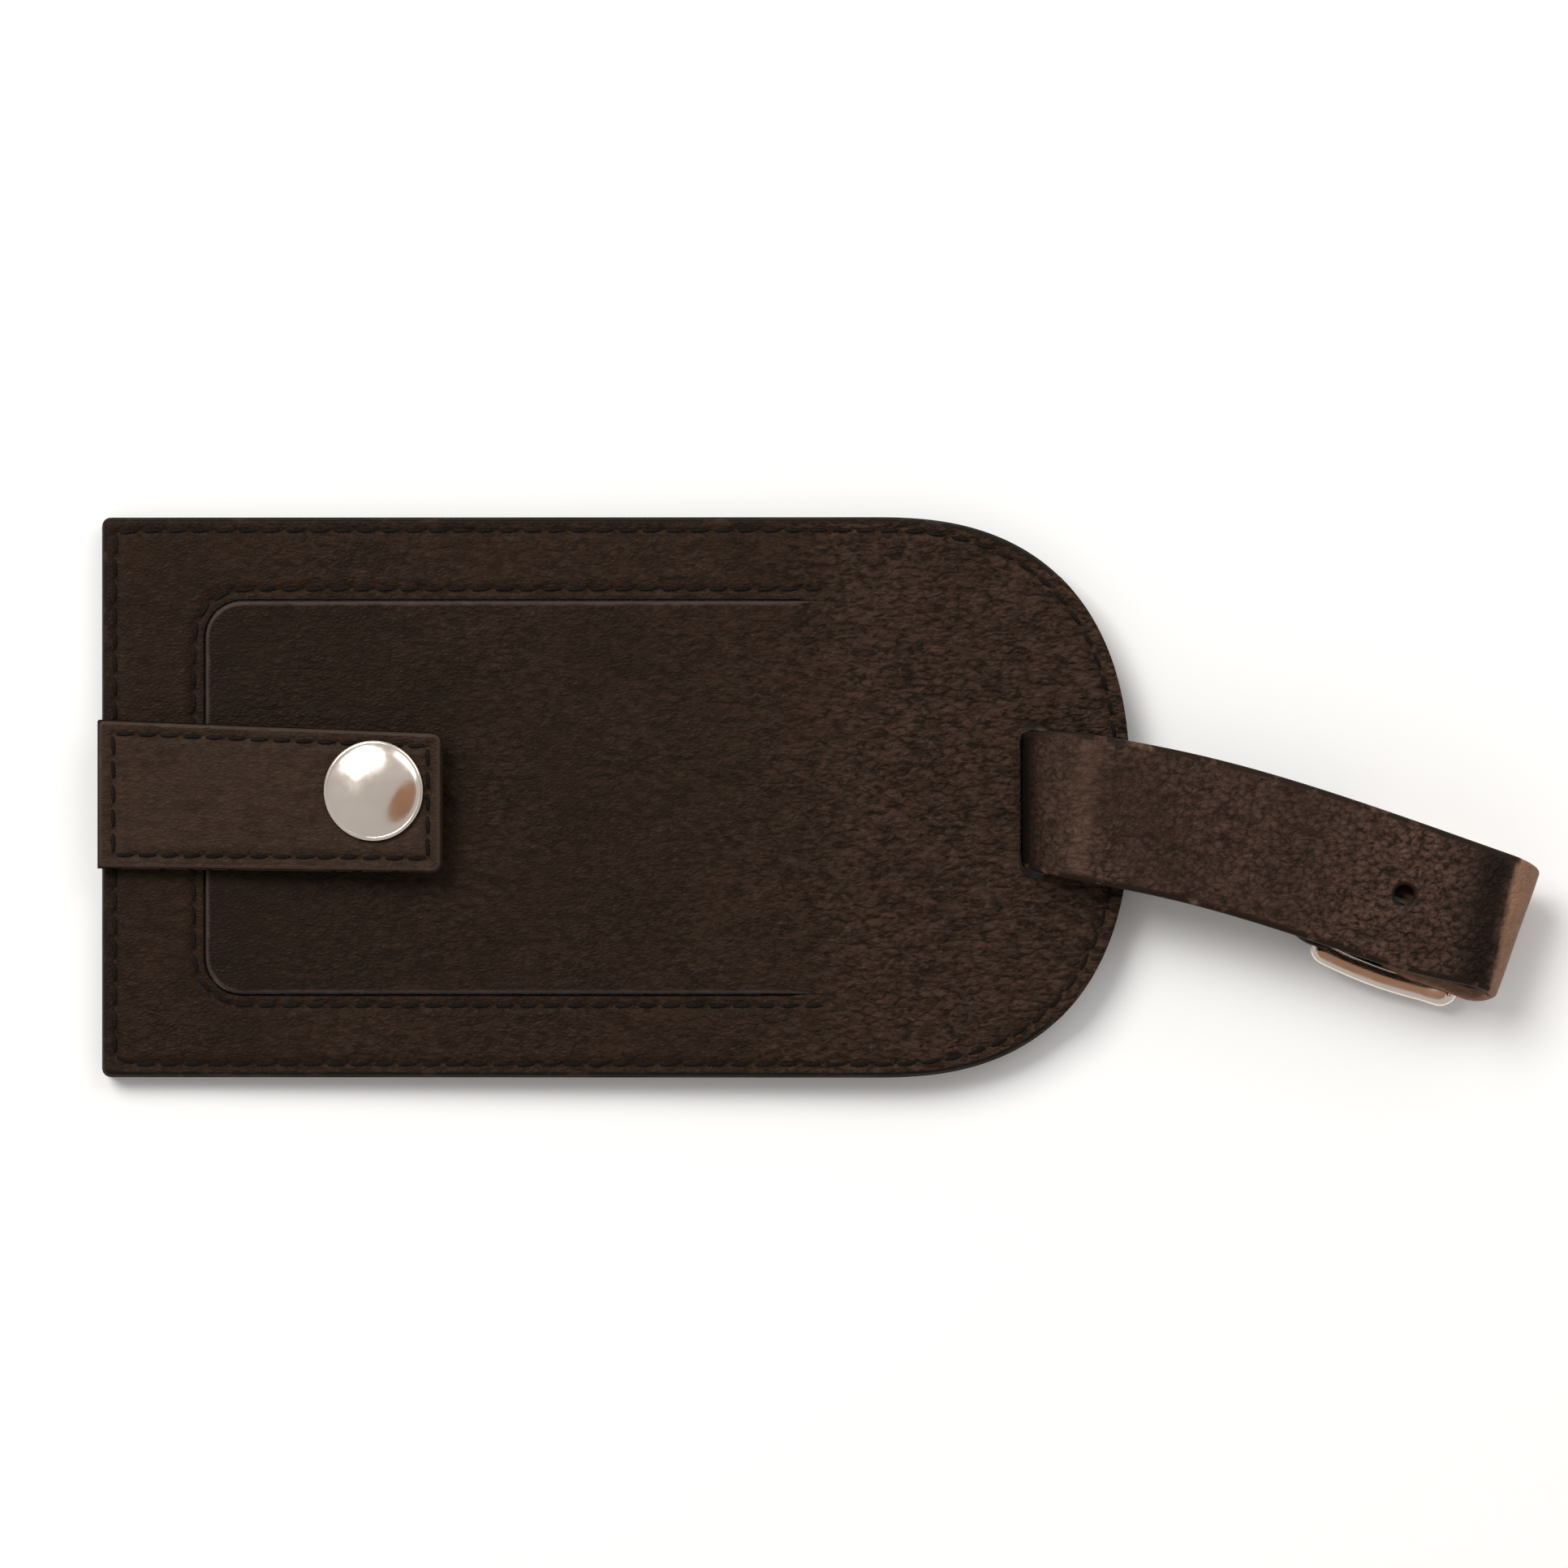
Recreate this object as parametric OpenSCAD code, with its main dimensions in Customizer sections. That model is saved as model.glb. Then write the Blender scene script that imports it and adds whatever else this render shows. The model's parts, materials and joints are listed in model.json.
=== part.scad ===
// Leather luggage tag: a stitched body with a card window under a flap,
// a press-stud tab that holds the flap shut, and a buckled strap loop.
// Units are millimetres. The tag lies on its back on the plane z = 0,
// with its square end to -X and its strap to +X.

/* [Tag body] */
// Length from the square end to the round end
tag_length = 123; // [116:1:130]
// Width across the straight sides
tag_width = 67; // [64:1:74]
// Depth of the round end, measured back from its tip
round_depth = 30.7; // [28:0.1:34]
// Squareness of the round end, where 2 is an ellipse
round_power = 2.5; // [2:0.1:3]
// Radius of the two corners at the square end
corner_r = 1; // [0.5:0.1:3]
// Angle at which the tag lies, its round end resting on the strap
lie_angle = 1; // [0.9:0.05:1.2]

/* [Layers] */
// Thickness of the leather back
back_t = 1.1; // [1:0.1:1.4]
// Thickness of the stiffener board
board_t = 0.4; // [0.3:0.05:0.5]
// Thickness of the pocket's cloth lining
lining_t = 0.2; // [0.15:0.05:0.25]
// Thickness of the address card
card_t = 0.3; // [0.2:0.05:0.35]
// Thickness of the clear window film
film_t = 0.25; // [0.2:0.05:0.3]
// Thickness of the face leather above the window film
face_t = 1.1; // [1:0.1:1.3]

/* [Flap and window] */
// Distance from the square end to the flap's free edge
flap_start = 12.5; // [11:0.1:14]
// Length of the flap
flap_length = 74.6; // [70:0.1:78]
// Width of the flap
flap_width = 46.9; // [44:0.1:48]
// Radius of the flap's two free corners
flap_corner_r = 4.4; // [3:0.1:6]
// Gap cut between the flap and the face
flap_kerf = 0.3; // [0.3:0.05:0.5]
// Thickness of the flap's leather
flap_t = 1; // [0.9:0.05:1.1]
// Distance from the flap's edge to the seam outside it
window_seam = 1.35; // [1.2:0.05:1.6]

/* [Tab] */
// Width of the tab
tab_width = 17.4; // [16:0.1:19]
// Distance from the square end to the tab's free end
tab_reach = 41.1; // [39:0.1:44]
// Length of the tab's root, which the edge seam holds
tab_root_length = 2.9; // [2.7:0.1:3.2]
// Thickness of the tab's top leather
tab_leather_t = 1; // [0.9:0.05:1.1]
// Thickness of the tab's lining leather
tab_lining_t = 0.6; // [0.5:0.05:0.7]
// Angle at which the closed tab rises towards the press stud
tab_rise = 4.2; // [4:0.1:4.6]
// Distance of the tab's middle from the tag's midline
tab_offset = 0.3; // [-1:0.1:1]

/* [Press stud] */
// Diameter of the domed cap
cap_d = 12; // [11:0.1:12.6]
// Height of the domed cap
cap_h = 1.6; // [1.4:0.1:2]
// Distance from the square end to the press stud's axis
stud_reach = 32.9; // [31:0.1:34]

/* [Strap] */
// Width of the strap
strap_width = 17.5; // [16.8:0.1:17.8]
// Width of the strap where it passes the buckle
strap_waist = 15.6; // [15:0.1:15.8]
// Thickness of the strap
strap_t = 1.3; // [1.2:0.05:1.35]
// Angle that the strap has turned through at its far end
strap_turn = 19.5; // [10:0.5:21]
// Height of the top leg's middle above the surface
loop_top = 10; // [9.8:0.1:11]
// Distance along the strap from the slot to the middle of the far fold
fold_s = 55.9; // [55.6:0.1:57]

/* [Buckle] */
// Diameter of the buckle's wire
wire_d = 1.3; // [1.2:0.05:1.4]
// Diameter of the buckle's front bar
front_bar_d = 1.8; // [1.6:0.05:1.9]
// Diameter of the prong
prong_d = 1.1; // [1:0.05:1.2]

/* [Hidden] */
$fn = 64;
eps = 0.01;
leather = [0.22, 0.17, 0.14];
leather_light = [0.29, 0.22, 0.18];
nickel = [0.82, 0.8, 0.77];

// The model's origin is under the middle of the whole footprint.
origin_x = 24.2;
left_x = -tag_length / 2;

// Heights in the tag's own frame, whose z = 0 is the back of the tag.
board_z = back_t;
lining_z = board_z + board_t;
card_z = lining_z + lining_t;
film_z = card_z + card_t;
face_under = film_z + film_t;
face_top = face_under + face_t;
clearance = 0.3;
flap_z = face_under + clearance;
flap_lining_t = 0.2;
flap_leather_z = flap_z + flap_lining_t;
flap_top = flap_leather_z + flap_t;

flap_x = left_x + flap_start;
flap_hinge_x = flap_x + flap_length;
pocket_margin = 3;
card_length = 72;
card_width = 46;
seam_inset = 1.6;
thread_w = 0.5;
thread_depth = 0.3;

// The slot at the round end, and the strap's middle line within it.
slot_w = 3.5;
slot_length = 18.8;
slot_left = 48.3;
strap_x = slot_left + 1.8;
strap_y = -1.3;

tab_t = tab_leather_t + tab_lining_t;
tab_hinge_x = left_x + 3.2;
tab_hinge_z = face_top + clearance + tab_t;
tab_length = tab_reach - 3.2;
tab_gap = 0.3;
tab_seam = 1.65;
stud_x = left_x + stud_reach;
stud_y = 0.8;
stud_on_tab = (stud_reach - 3.2) / cos(tab_rise);
socket_r = 4.6;
socket_h = 1.3;
socket_bore_r = 2.2;
stud_ball_r = 1.85;
stud_base_r = 4.2;
stud_base_h = 0.4;
stud_h = 1.2;
post_r = 1.4;
post_flange_r = 3.8;

// The strap's heights and places. s is the distance along it from the slot.
leg_low = 0.85;
swing_s = 13.5;
swing_z = 5.2;
swing_r = 6.2;
swing_gap = 0.7;
strap_steps = 66;
strap_reach = 58;
offset_low = -1.4;
heel_s = 37.5;
heel_z = 4.2;
front_s = 54.8;
front_z = 2.1;
over_front_z = front_z + front_bar_d / 2 + 0.1 + strap_t / 2;
tip_z = 1.75;
tip_s = 26.5;
chape_t = 0.9;
chape_z = 2.95;
turn_z = 3.95;
turn_end_s = 33.2;
keeper_s = 30;
keeper_length = 4.6;
keeper_t = 0.7;
spare_hole_s = 45;
spare_hole_r = 1.2;
buckle_half = 8.8;
buckle_bow = 0.6;
buckle_s = 46;

// ---------- outlines ----------

function signed_power(v, p) = sign(v) * pow(abs(v), p);

function arc(cx, cy, r, a0, a1, n) = [
    for (i = [0:n]) let (a = a0 + (a1 - a0) * i / n) [cx + r * cos(a), cy + r * sin(a)]
];

function round_end(a, b, n) = [
    for (i = [0:n]) let (t = -90 + 180 * i / n)
        [tag_length / 2 - round_depth + a * signed_power(cos(t), 2 / round_power),
         b * signed_power(sin(t), 2 / round_power)]
];

function tag_outline(inset) = let (half = tag_width / 2 - inset, x = left_x + inset + corner_r)
    concat(
        arc(x, corner_r - half, corner_r, 180, 270, 5),
        round_end(round_depth - inset, half, 56),
        arc(x, half - corner_r, corner_r, 90, 180, 5)
    );

module tag_plate(z, t, inset = 0) {
    translate([0, 0, z]) linear_extrude(t) polygon(tag_outline(inset));
}

module left_rounded(x0, x1, width, r) {
    translate([x0 + r, -width / 2]) square([x1 - x0 - r, width]);
    translate([x0, r - width / 2]) square([2 * r, width - 2 * r]);
    for (y = [r - width / 2, width / 2 - r]) translate([x0 + r, y]) circle(r);
}

module slot_cut() {
    r = slot_w / 2;
    translate([slot_left + r, strap_y, -1]) linear_extrude(face_top + 2) {
        square([slot_w, slot_length - slot_w], center = true);
        for (side = [-1, 1]) translate([0, side * (slot_length - slot_w) / 2]) circle(r);
    }
}

module seam_ring(z, t, widen = 0) {
    translate([0, 0, z]) linear_extrude(t) difference() {
        polygon(tag_outline(seam_inset - thread_w / 2 - widen));
        polygon(tag_outline(seam_inset + thread_w / 2 + widen));
    }
}

module window_seam_ring(z, t) {
    grow = 2 * window_seam;
    end_x = flap_hinge_x - 0.5;
    translate([0, 0, z]) linear_extrude(t) difference() {
        left_rounded(flap_x - window_seam - thread_w / 2, end_x, flap_width + grow + thread_w,
            flap_corner_r + window_seam);
        left_rounded(flap_x - window_seam + thread_w / 2, end_x + 1, flap_width + grow - thread_w,
            flap_corner_r + window_seam - thread_w);
    }
}

// ---------- placing ----------

module on_tag() {
    translate([left_x - origin_x, 0, 0]) rotate([0, -lie_angle, 0]) translate([-left_x, 0, 0]) children();
}

module on_tab() {
    on_tag() translate([tab_hinge_x, 0, tab_hinge_z]) rotate([0, -tab_rise, 0]) translate([0, 0, -tab_t]) children();
}

// ---------- the body of the tag ----------

module back_panel() {
    color(leather) on_tag() difference() {
        tag_plate(0, back_t);
        slot_cut();
        seam_ring(-eps, thread_depth + eps);
    }
}

module stiffener_board() {
    color([0.55, 0.5, 0.42]) on_tag() difference() {
        tag_plate(board_z, board_t, 0.4);
        slot_cut();
    }
}

module pocket_block(z, t, margin) {
    translate([flap_x - margin, -flap_width / 2 - margin, z])
        cube([flap_length + 2 * margin, flap_width + 2 * margin, t]);
}

module pocket_lining() {
    color([0.12, 0.1, 0.1]) on_tag() pocket_block(lining_z, lining_t, pocket_margin - 0.1);
}

module address_card() {
    color([0.95, 0.94, 0.9]) on_tag() translate([flap_x + 0.8, -card_width / 2, card_z])
        cube([card_length, card_width, card_t]);
}

module window_film() {
    color([0.85, 0.9, 0.92, 0.35]) on_tag() pocket_block(film_z, film_t, pocket_margin - 0.1);
}

module face_panel() {
    color(leather) on_tag() difference() {
        tag_plate(lining_z, face_top - lining_z);
        pocket_block(lining_z - eps, face_under - lining_z + eps, pocket_margin);
        translate([0, 0, face_under - eps]) linear_extrude(face_t + 1)
            left_rounded(flap_x - flap_kerf, flap_hinge_x + flap_kerf, flap_width + 2 * flap_kerf,
                flap_corner_r + flap_kerf);
        slot_cut();
        seam_ring(face_top - thread_depth, thread_depth + eps);
        window_seam_ring(face_top - thread_depth, thread_depth + eps);
    }
}

module front_seam_thread() {
    color([0.1, 0.08, 0.07]) on_tag() {
        seam_ring(face_top - thread_depth, thread_depth);
        translate([left_x + seam_inset, tab_offset, tab_hinge_z - thread_depth / 2])
            cube([thread_w, tab_width - 1, thread_depth], center = true);
    }
}

module back_seam_thread() {
    color([0.1, 0.08, 0.07]) on_tag() seam_ring(0, thread_depth);
}

module window_thread() {
    color([0.1, 0.08, 0.07]) on_tag() window_seam_ring(face_top - thread_depth, thread_depth);
}

module tab_root() {
    overhang = 0.3;
    color(leather_light) on_tag() difference() {
        translate([left_x - overhang, tab_offset - tab_width / 2, face_top])
            cube([tab_root_length + overhang, tab_width, tab_hinge_z - face_top]);
        translate([left_x + seam_inset, tab_offset, tab_hinge_z])
            cube([thread_w, tab_width - 1, 2 * thread_depth], center = true);
    }
}

// ---------- the flap ----------

module flap_plate(z, t, inset = 0) {
    translate([0, 0, z]) linear_extrude(t)
        left_rounded(flap_x + inset, flap_hinge_x - inset, flap_width - 2 * inset, flap_corner_r - inset);
}

module stud_bore(r) {
    translate([stud_x, stud_y, 0]) cylinder(r = r, h = flap_top + 1);
}

module flap_leather() {
    color(leather) on_tag() difference() {
        flap_plate(flap_leather_z, flap_t);
        stud_bore(post_r);
    }
}

module flap_lining() {
    color([0.16, 0.12, 0.1]) on_tag() difference() {
        flap_plate(flap_z, flap_lining_t, 0.4);
        stud_bore(post_flange_r);
    }
}

module snap_stud() {
    color(nickel) on_tag() translate([stud_x, stud_y, flap_top]) {
        cylinder(r = stud_base_r, h = stud_base_h);
        cylinder(r = stud_ball_r - 0.25, h = stud_base_h + stud_h);
        translate([0, 0, stud_base_h + stud_h / 2]) cylinder(r = stud_ball_r, h = stud_h / 2);
    }
}

module stud_post() {
    color(nickel) on_tag() translate([stud_x, stud_y, flap_z]) {
        cylinder(r = post_flange_r, h = flap_lining_t);
        cylinder(r = post_r, h = flap_top - flap_z);
    }
}

// ---------- the tab ----------

module tab_plate(z, t) {
    r = 1;
    x0 = tab_gap;
    y0 = tab_offset - tab_width / 2;
    translate([0, 0, z]) linear_extrude(t) {
        translate([x0, y0]) square([tab_length - x0 - r, tab_width]);
        translate([x0, y0 + r]) square([tab_length - x0, tab_width - 2 * r]);
        for (y = [y0 + r, y0 + tab_width - r]) translate([tab_length - r, y]) circle(r);
    }
}

module tab_thread_rows(z, t) {
    for (side = [-1, 1])
        translate([tab_gap + 0.5, tab_offset + side * (tab_width / 2 - tab_seam) - thread_w / 2, z])
            cube([tab_length - tab_gap - 2.5, thread_w, t]);
}

module tab_bore(r) {
    translate([stud_on_tab, stud_y, -1]) cylinder(r = r, h = tab_t + 2);
}

module tab_leather() {
    color(leather_light) on_tab() difference() {
        tab_plate(tab_lining_t, tab_leather_t);
        tab_bore(post_r);
        tab_thread_rows(tab_t - thread_depth, thread_depth + eps);
    }
}

module tab_lining() {
    color(leather) on_tab() difference() {
        tab_plate(0, tab_lining_t);
        tab_bore(post_r);
    }
}

module tab_thread() {
    color([0.1, 0.08, 0.07]) on_tab() tab_thread_rows(tab_t - thread_depth, thread_depth);
}

module snap_cap() {
    cap_r = cap_d / 2;
    dome_r = (cap_r * cap_r + cap_h * cap_h) / (2 * cap_h);
    dome_angle = asin(cap_r / dome_r);
    color(nickel) on_tab() translate([stud_on_tab, stud_y, 0]) {
        translate([0, 0, tab_t]) rotate_extrude($fn = 128)
            polygon(concat([[0, 0]], arc(0, cap_h - dome_r, dome_r, 90 - dome_angle, 90, 14)));
        cylinder(r = post_r, h = tab_t + eps);
    }
}

module snap_socket() {
    roof_t = 0.2;
    groove_r = 3;
    groove_h = 0.5;
    color(nickel) on_tab() translate([stud_on_tab, stud_y, -socket_h]) difference() {
        cylinder(r = socket_r, h = socket_h);
        translate([0, 0, -1]) cylinder(r = socket_bore_r, h = socket_h + 1 - roof_t);
        translate([0, 0, 0.3]) cylinder(r = groove_r, h = groove_h);
    }
}

module snap_spring() {
    ring_r = 2.6;
    color([0.6, 0.58, 0.55]) on_tab() translate([stud_on_tab, stud_y, 0.55 - socket_h])
        rotate_extrude() translate([ring_r, 0]) circle(0.2);
}

// ---------- the strap ----------

function clamp01(v) = max(0, min(1, v));
function smooth(v) = let (u = clamp01(v)) u * u * (3 - 2 * u);
function mix(a, b, u) = a + (b - a) * u;
function heading(s) = -strap_turn * (1 - pow(1 - clamp01(s / strap_reach), 3));

// The middle line of the strap seen from above, in steps of 1 mm.
plan = [
    for (i = 0, x = strap_x, y = strap_y; i <= strap_steps;
        i = i + 1, x = x + cos(heading(i - 0.5)), y = y + sin(heading(i - 0.5))) [x, y]
];
function plan_at(s) = let (i = max(0, min(strap_steps - 1, floor(s)))) mix(plan[i], plan[i + 1], s - i);

// A point of the strap: distance along it, distance to its left, and height.
function strap_point(s, side, z) = let (p = plan_at(s), h = heading(s))
    [p.x - side * sin(h) - origin_x, p.y + side * cos(h), z];

// One station of a ribbon is [s, z, sideways offset, width, slant of a cut end].
function tangent(path, i) = let (
    a = path[max(0, i - 1)],
    b = path[min(len(path) - 1, i + 1)],
    d = [b[0] - a[0], b[1] - a[1]]
) d / norm(d);

function ribbon_ring(path, i, t) = let (
    p = path[i],
    d = tangent(path, i),
    up = [-d.y, d.x] * t / 2,
    cut = d * p[4],
    outer = [p[0], p[1]] + up + cut,
    inner = [p[0], p[1]] - up - cut
) [
    strap_point(outer.x, p[2] + p[3] / 2, outer.y),
    strap_point(outer.x, p[2] - p[3] / 2, outer.y),
    strap_point(inner.x, p[2] - p[3] / 2, inner.y),
    strap_point(inner.x, p[2] + p[3] / 2, inner.y)
];

module ribbon(path, t) {
    last = len(path) - 1;
    points = [for (i = [0:last]) each ribbon_ring(path, i, t)];
    sides = [
        for (i = [0:last - 1], k = [0:3]) let (a = 4 * i + k, b = 4 * i + (k + 1) % 4)
            each [[a, a + 4, b], [b, a + 4, b + 4]]
    ];
    first_cap = [[0, 1, 2], [0, 2, 3]];
    last_cap = [for (f = first_cap) [for (k = [2:-1:0]) 4 * last + f[k]]];
    polyhedron(points, concat(first_cap, sides, last_cap));
}

low_width = strap_waist;
function low_offset(s) = offset_low * smooth((s - keeper_s - 1.5) / 5.5);
function low_width_at(s) = mix(strap_width, low_width, smooth((s - swing_s - 4.5) / 7));

function bend(cs, cz, r, a0, a1, n) = [for (q = arc(cs, cz, r, a0, a1, n)) [q.x, q.y, 0, strap_width, 0]];

// Ends of the two legs, cut to lie on circles about the swing axis.
function leg_end(r, z) = sqrt(r * r - (z - swing_z) * (z - swing_z));
function leg_middle(r, z, t) = (leg_end(r, z + t / 2) + leg_end(r, z - t / 2)) / 2;
function leg_slant(r, z, t) = (leg_end(r, z + t / 2) - leg_end(r, z - t / 2)) / 2;

root_low_bend = 2.4;
root_top_bend = 5;
root_top_z = loop_top - 0.4;

root_path = concat(
    [[swing_s + leg_middle(swing_r, leg_low, strap_t), leg_low, 0, strap_width,
        leg_slant(swing_r, leg_low, strap_t)]],
    [for (s = [15:-4:7]) [s, leg_low, 0, strap_width, 0]],
    bend(root_low_bend, leg_low + root_low_bend, root_low_bend, 270, 180, 8),
    bend(root_top_bend, root_top_z - root_top_bend, root_top_bend, 180, 90, 12),
    [for (s = [8:3:14]) [s, mix(root_top_z, loop_top, smooth((s - 6) / 12)), 0, strap_width, 0]],
    [[swing_s + leg_middle(swing_r, loop_top, strap_t), loop_top, 0, strap_width,
        leg_slant(swing_r, loop_top, strap_t)]]
);

module strap_root() {
    color(leather_light) ribbon(root_path, strap_t);
}

crown = 0.35;
long_start = swing_s + leg_middle(swing_r + swing_gap, loop_top, strap_t);
fold_r = (loop_top - over_front_z) / 2;
long_path = concat(
    [[long_start, loop_top, 0, strap_width, leg_slant(swing_r + swing_gap, loop_top, strap_t)]],
    [for (i = [1:11]) let (u = i / 12)
        [mix(long_start, fold_s, u), loop_top + crown * sin(180 * u), 0, strap_width, 0]],
    [for (i = [0:12]) let (a = 90 - 180 * i / 12, u = smooth(i / 12))
        [fold_s + fold_r * cos(a), loop_top - fold_r + fold_r * sin(a),
            offset_low * u, mix(strap_width, low_width, u), 0]],
    [for (i = [1:10]) let (u = i / 10)
        [mix(fold_s, heel_s + 0.5, u), mix(over_front_z, tip_z, smooth(u * 1.08 - 0.08)), offset_low, low_width, 0]],
    [for (i = [1:8]) let (s = mix(heel_s + 0.5, tip_s, i / 8)) [s, tip_z, low_offset(s), low_width, 0]]
);

module strap_spot(s, side, z) {
    translate(strap_point(s, side, z)) rotate([0, 0, heading(s)]) children();
}

module prong_slot() {
    slot_l = 9;
    slot_wide = 2;
    strap_spot(buckle_s, offset_low, 0) {
        cube([slot_l, slot_wide, 12], center = true);
        for (end = [-1, 1]) translate([end * slot_l / 2, 0, 0]) cylinder(d = slot_wide, h = 12, center = true);
    }
}

module strap_long() {
    color(leather_light) difference() {
        ribbon(long_path, strap_t);
        strap_spot(spare_hole_s, 0, loop_top) cylinder(r = spare_hole_r, h = 4, center = true);
        prong_slot();
    }
}

chape_start = swing_s + leg_middle(swing_r + swing_gap, leg_low, chape_t);
wrap_r = heel_z - chape_z;
function low_station(s, z) = [s, z, low_offset(s), low_width_at(s), 0];
chape_path = concat(
    [[chape_start, leg_low, low_offset(chape_start), low_width_at(chape_start),
        leg_slant(swing_r + swing_gap, leg_low, chape_t)]],
    [for (i = [1:8]) let (s = mix(chape_start, 25.5, i / 8)) low_station(s, mix(leg_low, chape_z, smooth(i / 8)))],
    [for (i = [1:8]) low_station(mix(25.5, heel_s, i / 8), chape_z)],
    [for (q = arc(heel_s, heel_z, wrap_r, -72, 90, 9)) low_station(q.x, q.y)],
    [for (i = [1:5]) low_station(mix(heel_s, heel_s - 3, i / 5), mix(heel_z + wrap_r, turn_z, smooth(i / 5)))],
    [low_station(turn_end_s, turn_z)]
);

module strap_chape() {
    prong_gap = 2.8;
    color(leather_light) difference() {
        ribbon(chape_path, chape_t);
        strap_spot(heel_s, offset_low, heel_z) cube([4, prong_gap, 6], center = true);
    }
}

module chape_thread() {
    stitch_l = 2;
    stitch_pitch = 3;
    color([0.1, 0.08, 0.07]) strap_spot(turn_end_s + 0.7, low_offset(turn_end_s + 0.7), turn_z + chape_t / 2)
        for (i = [-2:2]) translate([-thread_w / 2, i * stitch_pitch - stitch_l / 2, 0])
            cube([thread_w, stitch_l, 0.2]);
}

// ---------- buckle and keeper ----------

buckle_length = front_s - heel_s;
buckle_tilt = atan2(heel_z - front_z, buckle_length);
bar_length = buckle_length / cos(buckle_tilt);

module on_buckle() {
    translate(strap_point(heel_s, offset_low, heel_z))
        rotate([0, 0, heading(buckle_s)]) rotate([0, buckle_tilt, 0]) children();
}

module cross_bar(d) {
    rotate([90, 0, 0]) cylinder(d = d, h = 2 * buckle_half, center = true);
}

module buckle_frame() {
    side_r = (bar_length * bar_length / 4 + buckle_bow * buckle_bow) / (2 * buckle_bow);
    side_angle = asin(bar_length / 2 / side_r);
    corner_d = front_bar_d + 0.2;
    color(nickel) on_buckle() {
        cross_bar(wire_d);
        translate([bar_length, 0, 0]) cross_bar(front_bar_d);
        for (side = [0, 1]) mirror([0, side, 0]) {
            translate([bar_length / 2, buckle_half + buckle_bow - side_r, 0]) rotate([0, 0, 90 - side_angle])
                rotate_extrude(angle = 2 * side_angle, $fn = 600) translate([side_r, 0]) circle(d = wire_d, $fn = 64);
            for (end = [0, bar_length]) translate([end, buckle_half, 0]) sphere(d = corner_d);
        }
    }
}

module buckle_prong() {
    ring_clearance = 0.06;
    ring_wall = 0.65;
    ring_w = 2;
    bore_r = wire_d / 2 + ring_clearance;
    under = (front_bar_d + prong_d) / 2 + 0.05;
    shank_angle = atan2(under, bar_length);
    shank_length = bar_length + 0.9;
    color(nickel) on_buckle() difference() {
        union() {
            rotate([90, 0, 0]) cylinder(r = bore_r + ring_wall, h = ring_w, center = true);
            rotate([0, 90 + shank_angle, 0]) cylinder(d = prong_d, h = shank_length);
            rotate([0, shank_angle, 0]) translate([shank_length, 0, 0]) sphere(d = prong_d);
        }
        rotate([90, 0, 0]) cylinder(r = bore_r, h = ring_w + 2, center = true);
    }
}

module keeper_loop() {
    inner_w = low_width + 0.4;
    inner_low = tip_z - strap_t / 2 - 0.1;
    inner_high = chape_z + chape_t / 2 + 0.25;
    color(leather) strap_spot(keeper_s, 0, (inner_low + inner_high) / 2) difference() {
        cube([keeper_length, inner_w + 2 * keeper_t, inner_high - inner_low + 2 * keeper_t], center = true);
        cube([keeper_length + 1, inner_w, inner_high - inner_low], center = true);
    }
}

back_panel();
stiffener_board();
pocket_lining();
address_card();
window_film();
face_panel();
front_seam_thread();
back_seam_thread();
window_thread();
tab_root();
strap_root();
flap_leather();
flap_lining();
snap_stud();
stud_post();
tab_leather();
tab_lining();
tab_thread();
snap_cap();
snap_socket();
snap_spring();
strap_long();
strap_chape();
chape_thread();
buckle_frame();
keeper_loop();
buckle_prong();
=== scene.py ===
import json
import math

import bmesh
import bpy
import numpy as np
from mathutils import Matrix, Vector
from mathutils.geometry import delaunay_2d_cdt
from mathutils.kdtree import KDTree


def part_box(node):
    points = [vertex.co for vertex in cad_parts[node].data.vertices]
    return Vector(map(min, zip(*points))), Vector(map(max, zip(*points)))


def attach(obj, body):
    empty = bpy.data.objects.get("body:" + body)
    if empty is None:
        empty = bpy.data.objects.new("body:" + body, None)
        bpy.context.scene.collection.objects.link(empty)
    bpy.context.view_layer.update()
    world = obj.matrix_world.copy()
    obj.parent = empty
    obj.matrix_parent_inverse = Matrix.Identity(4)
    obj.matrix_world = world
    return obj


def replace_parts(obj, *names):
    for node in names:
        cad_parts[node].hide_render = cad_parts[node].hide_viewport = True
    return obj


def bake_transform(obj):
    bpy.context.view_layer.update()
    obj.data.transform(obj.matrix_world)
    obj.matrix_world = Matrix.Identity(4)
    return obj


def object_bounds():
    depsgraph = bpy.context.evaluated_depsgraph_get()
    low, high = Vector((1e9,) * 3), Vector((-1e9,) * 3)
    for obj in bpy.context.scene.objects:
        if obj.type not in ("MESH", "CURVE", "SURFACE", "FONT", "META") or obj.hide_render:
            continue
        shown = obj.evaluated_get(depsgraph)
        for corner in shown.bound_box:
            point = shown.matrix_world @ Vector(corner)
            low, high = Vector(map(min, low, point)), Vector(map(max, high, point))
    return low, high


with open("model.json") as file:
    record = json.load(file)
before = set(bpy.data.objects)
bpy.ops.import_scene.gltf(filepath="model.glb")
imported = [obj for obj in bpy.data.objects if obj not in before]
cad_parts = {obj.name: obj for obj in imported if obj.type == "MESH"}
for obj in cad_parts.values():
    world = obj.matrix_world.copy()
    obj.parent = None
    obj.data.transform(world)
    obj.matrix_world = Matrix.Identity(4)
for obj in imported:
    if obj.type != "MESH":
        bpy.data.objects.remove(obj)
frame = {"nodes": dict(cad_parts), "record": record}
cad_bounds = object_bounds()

# Shapes are worked out in millimetres, flat or along the strap, and placed in the row frame in metres.
MM = 0.001
SEED = 7


def mm_box(node):
    lo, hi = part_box(node)
    return np.array(lo) / MM, np.array(hi) / MM


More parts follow.
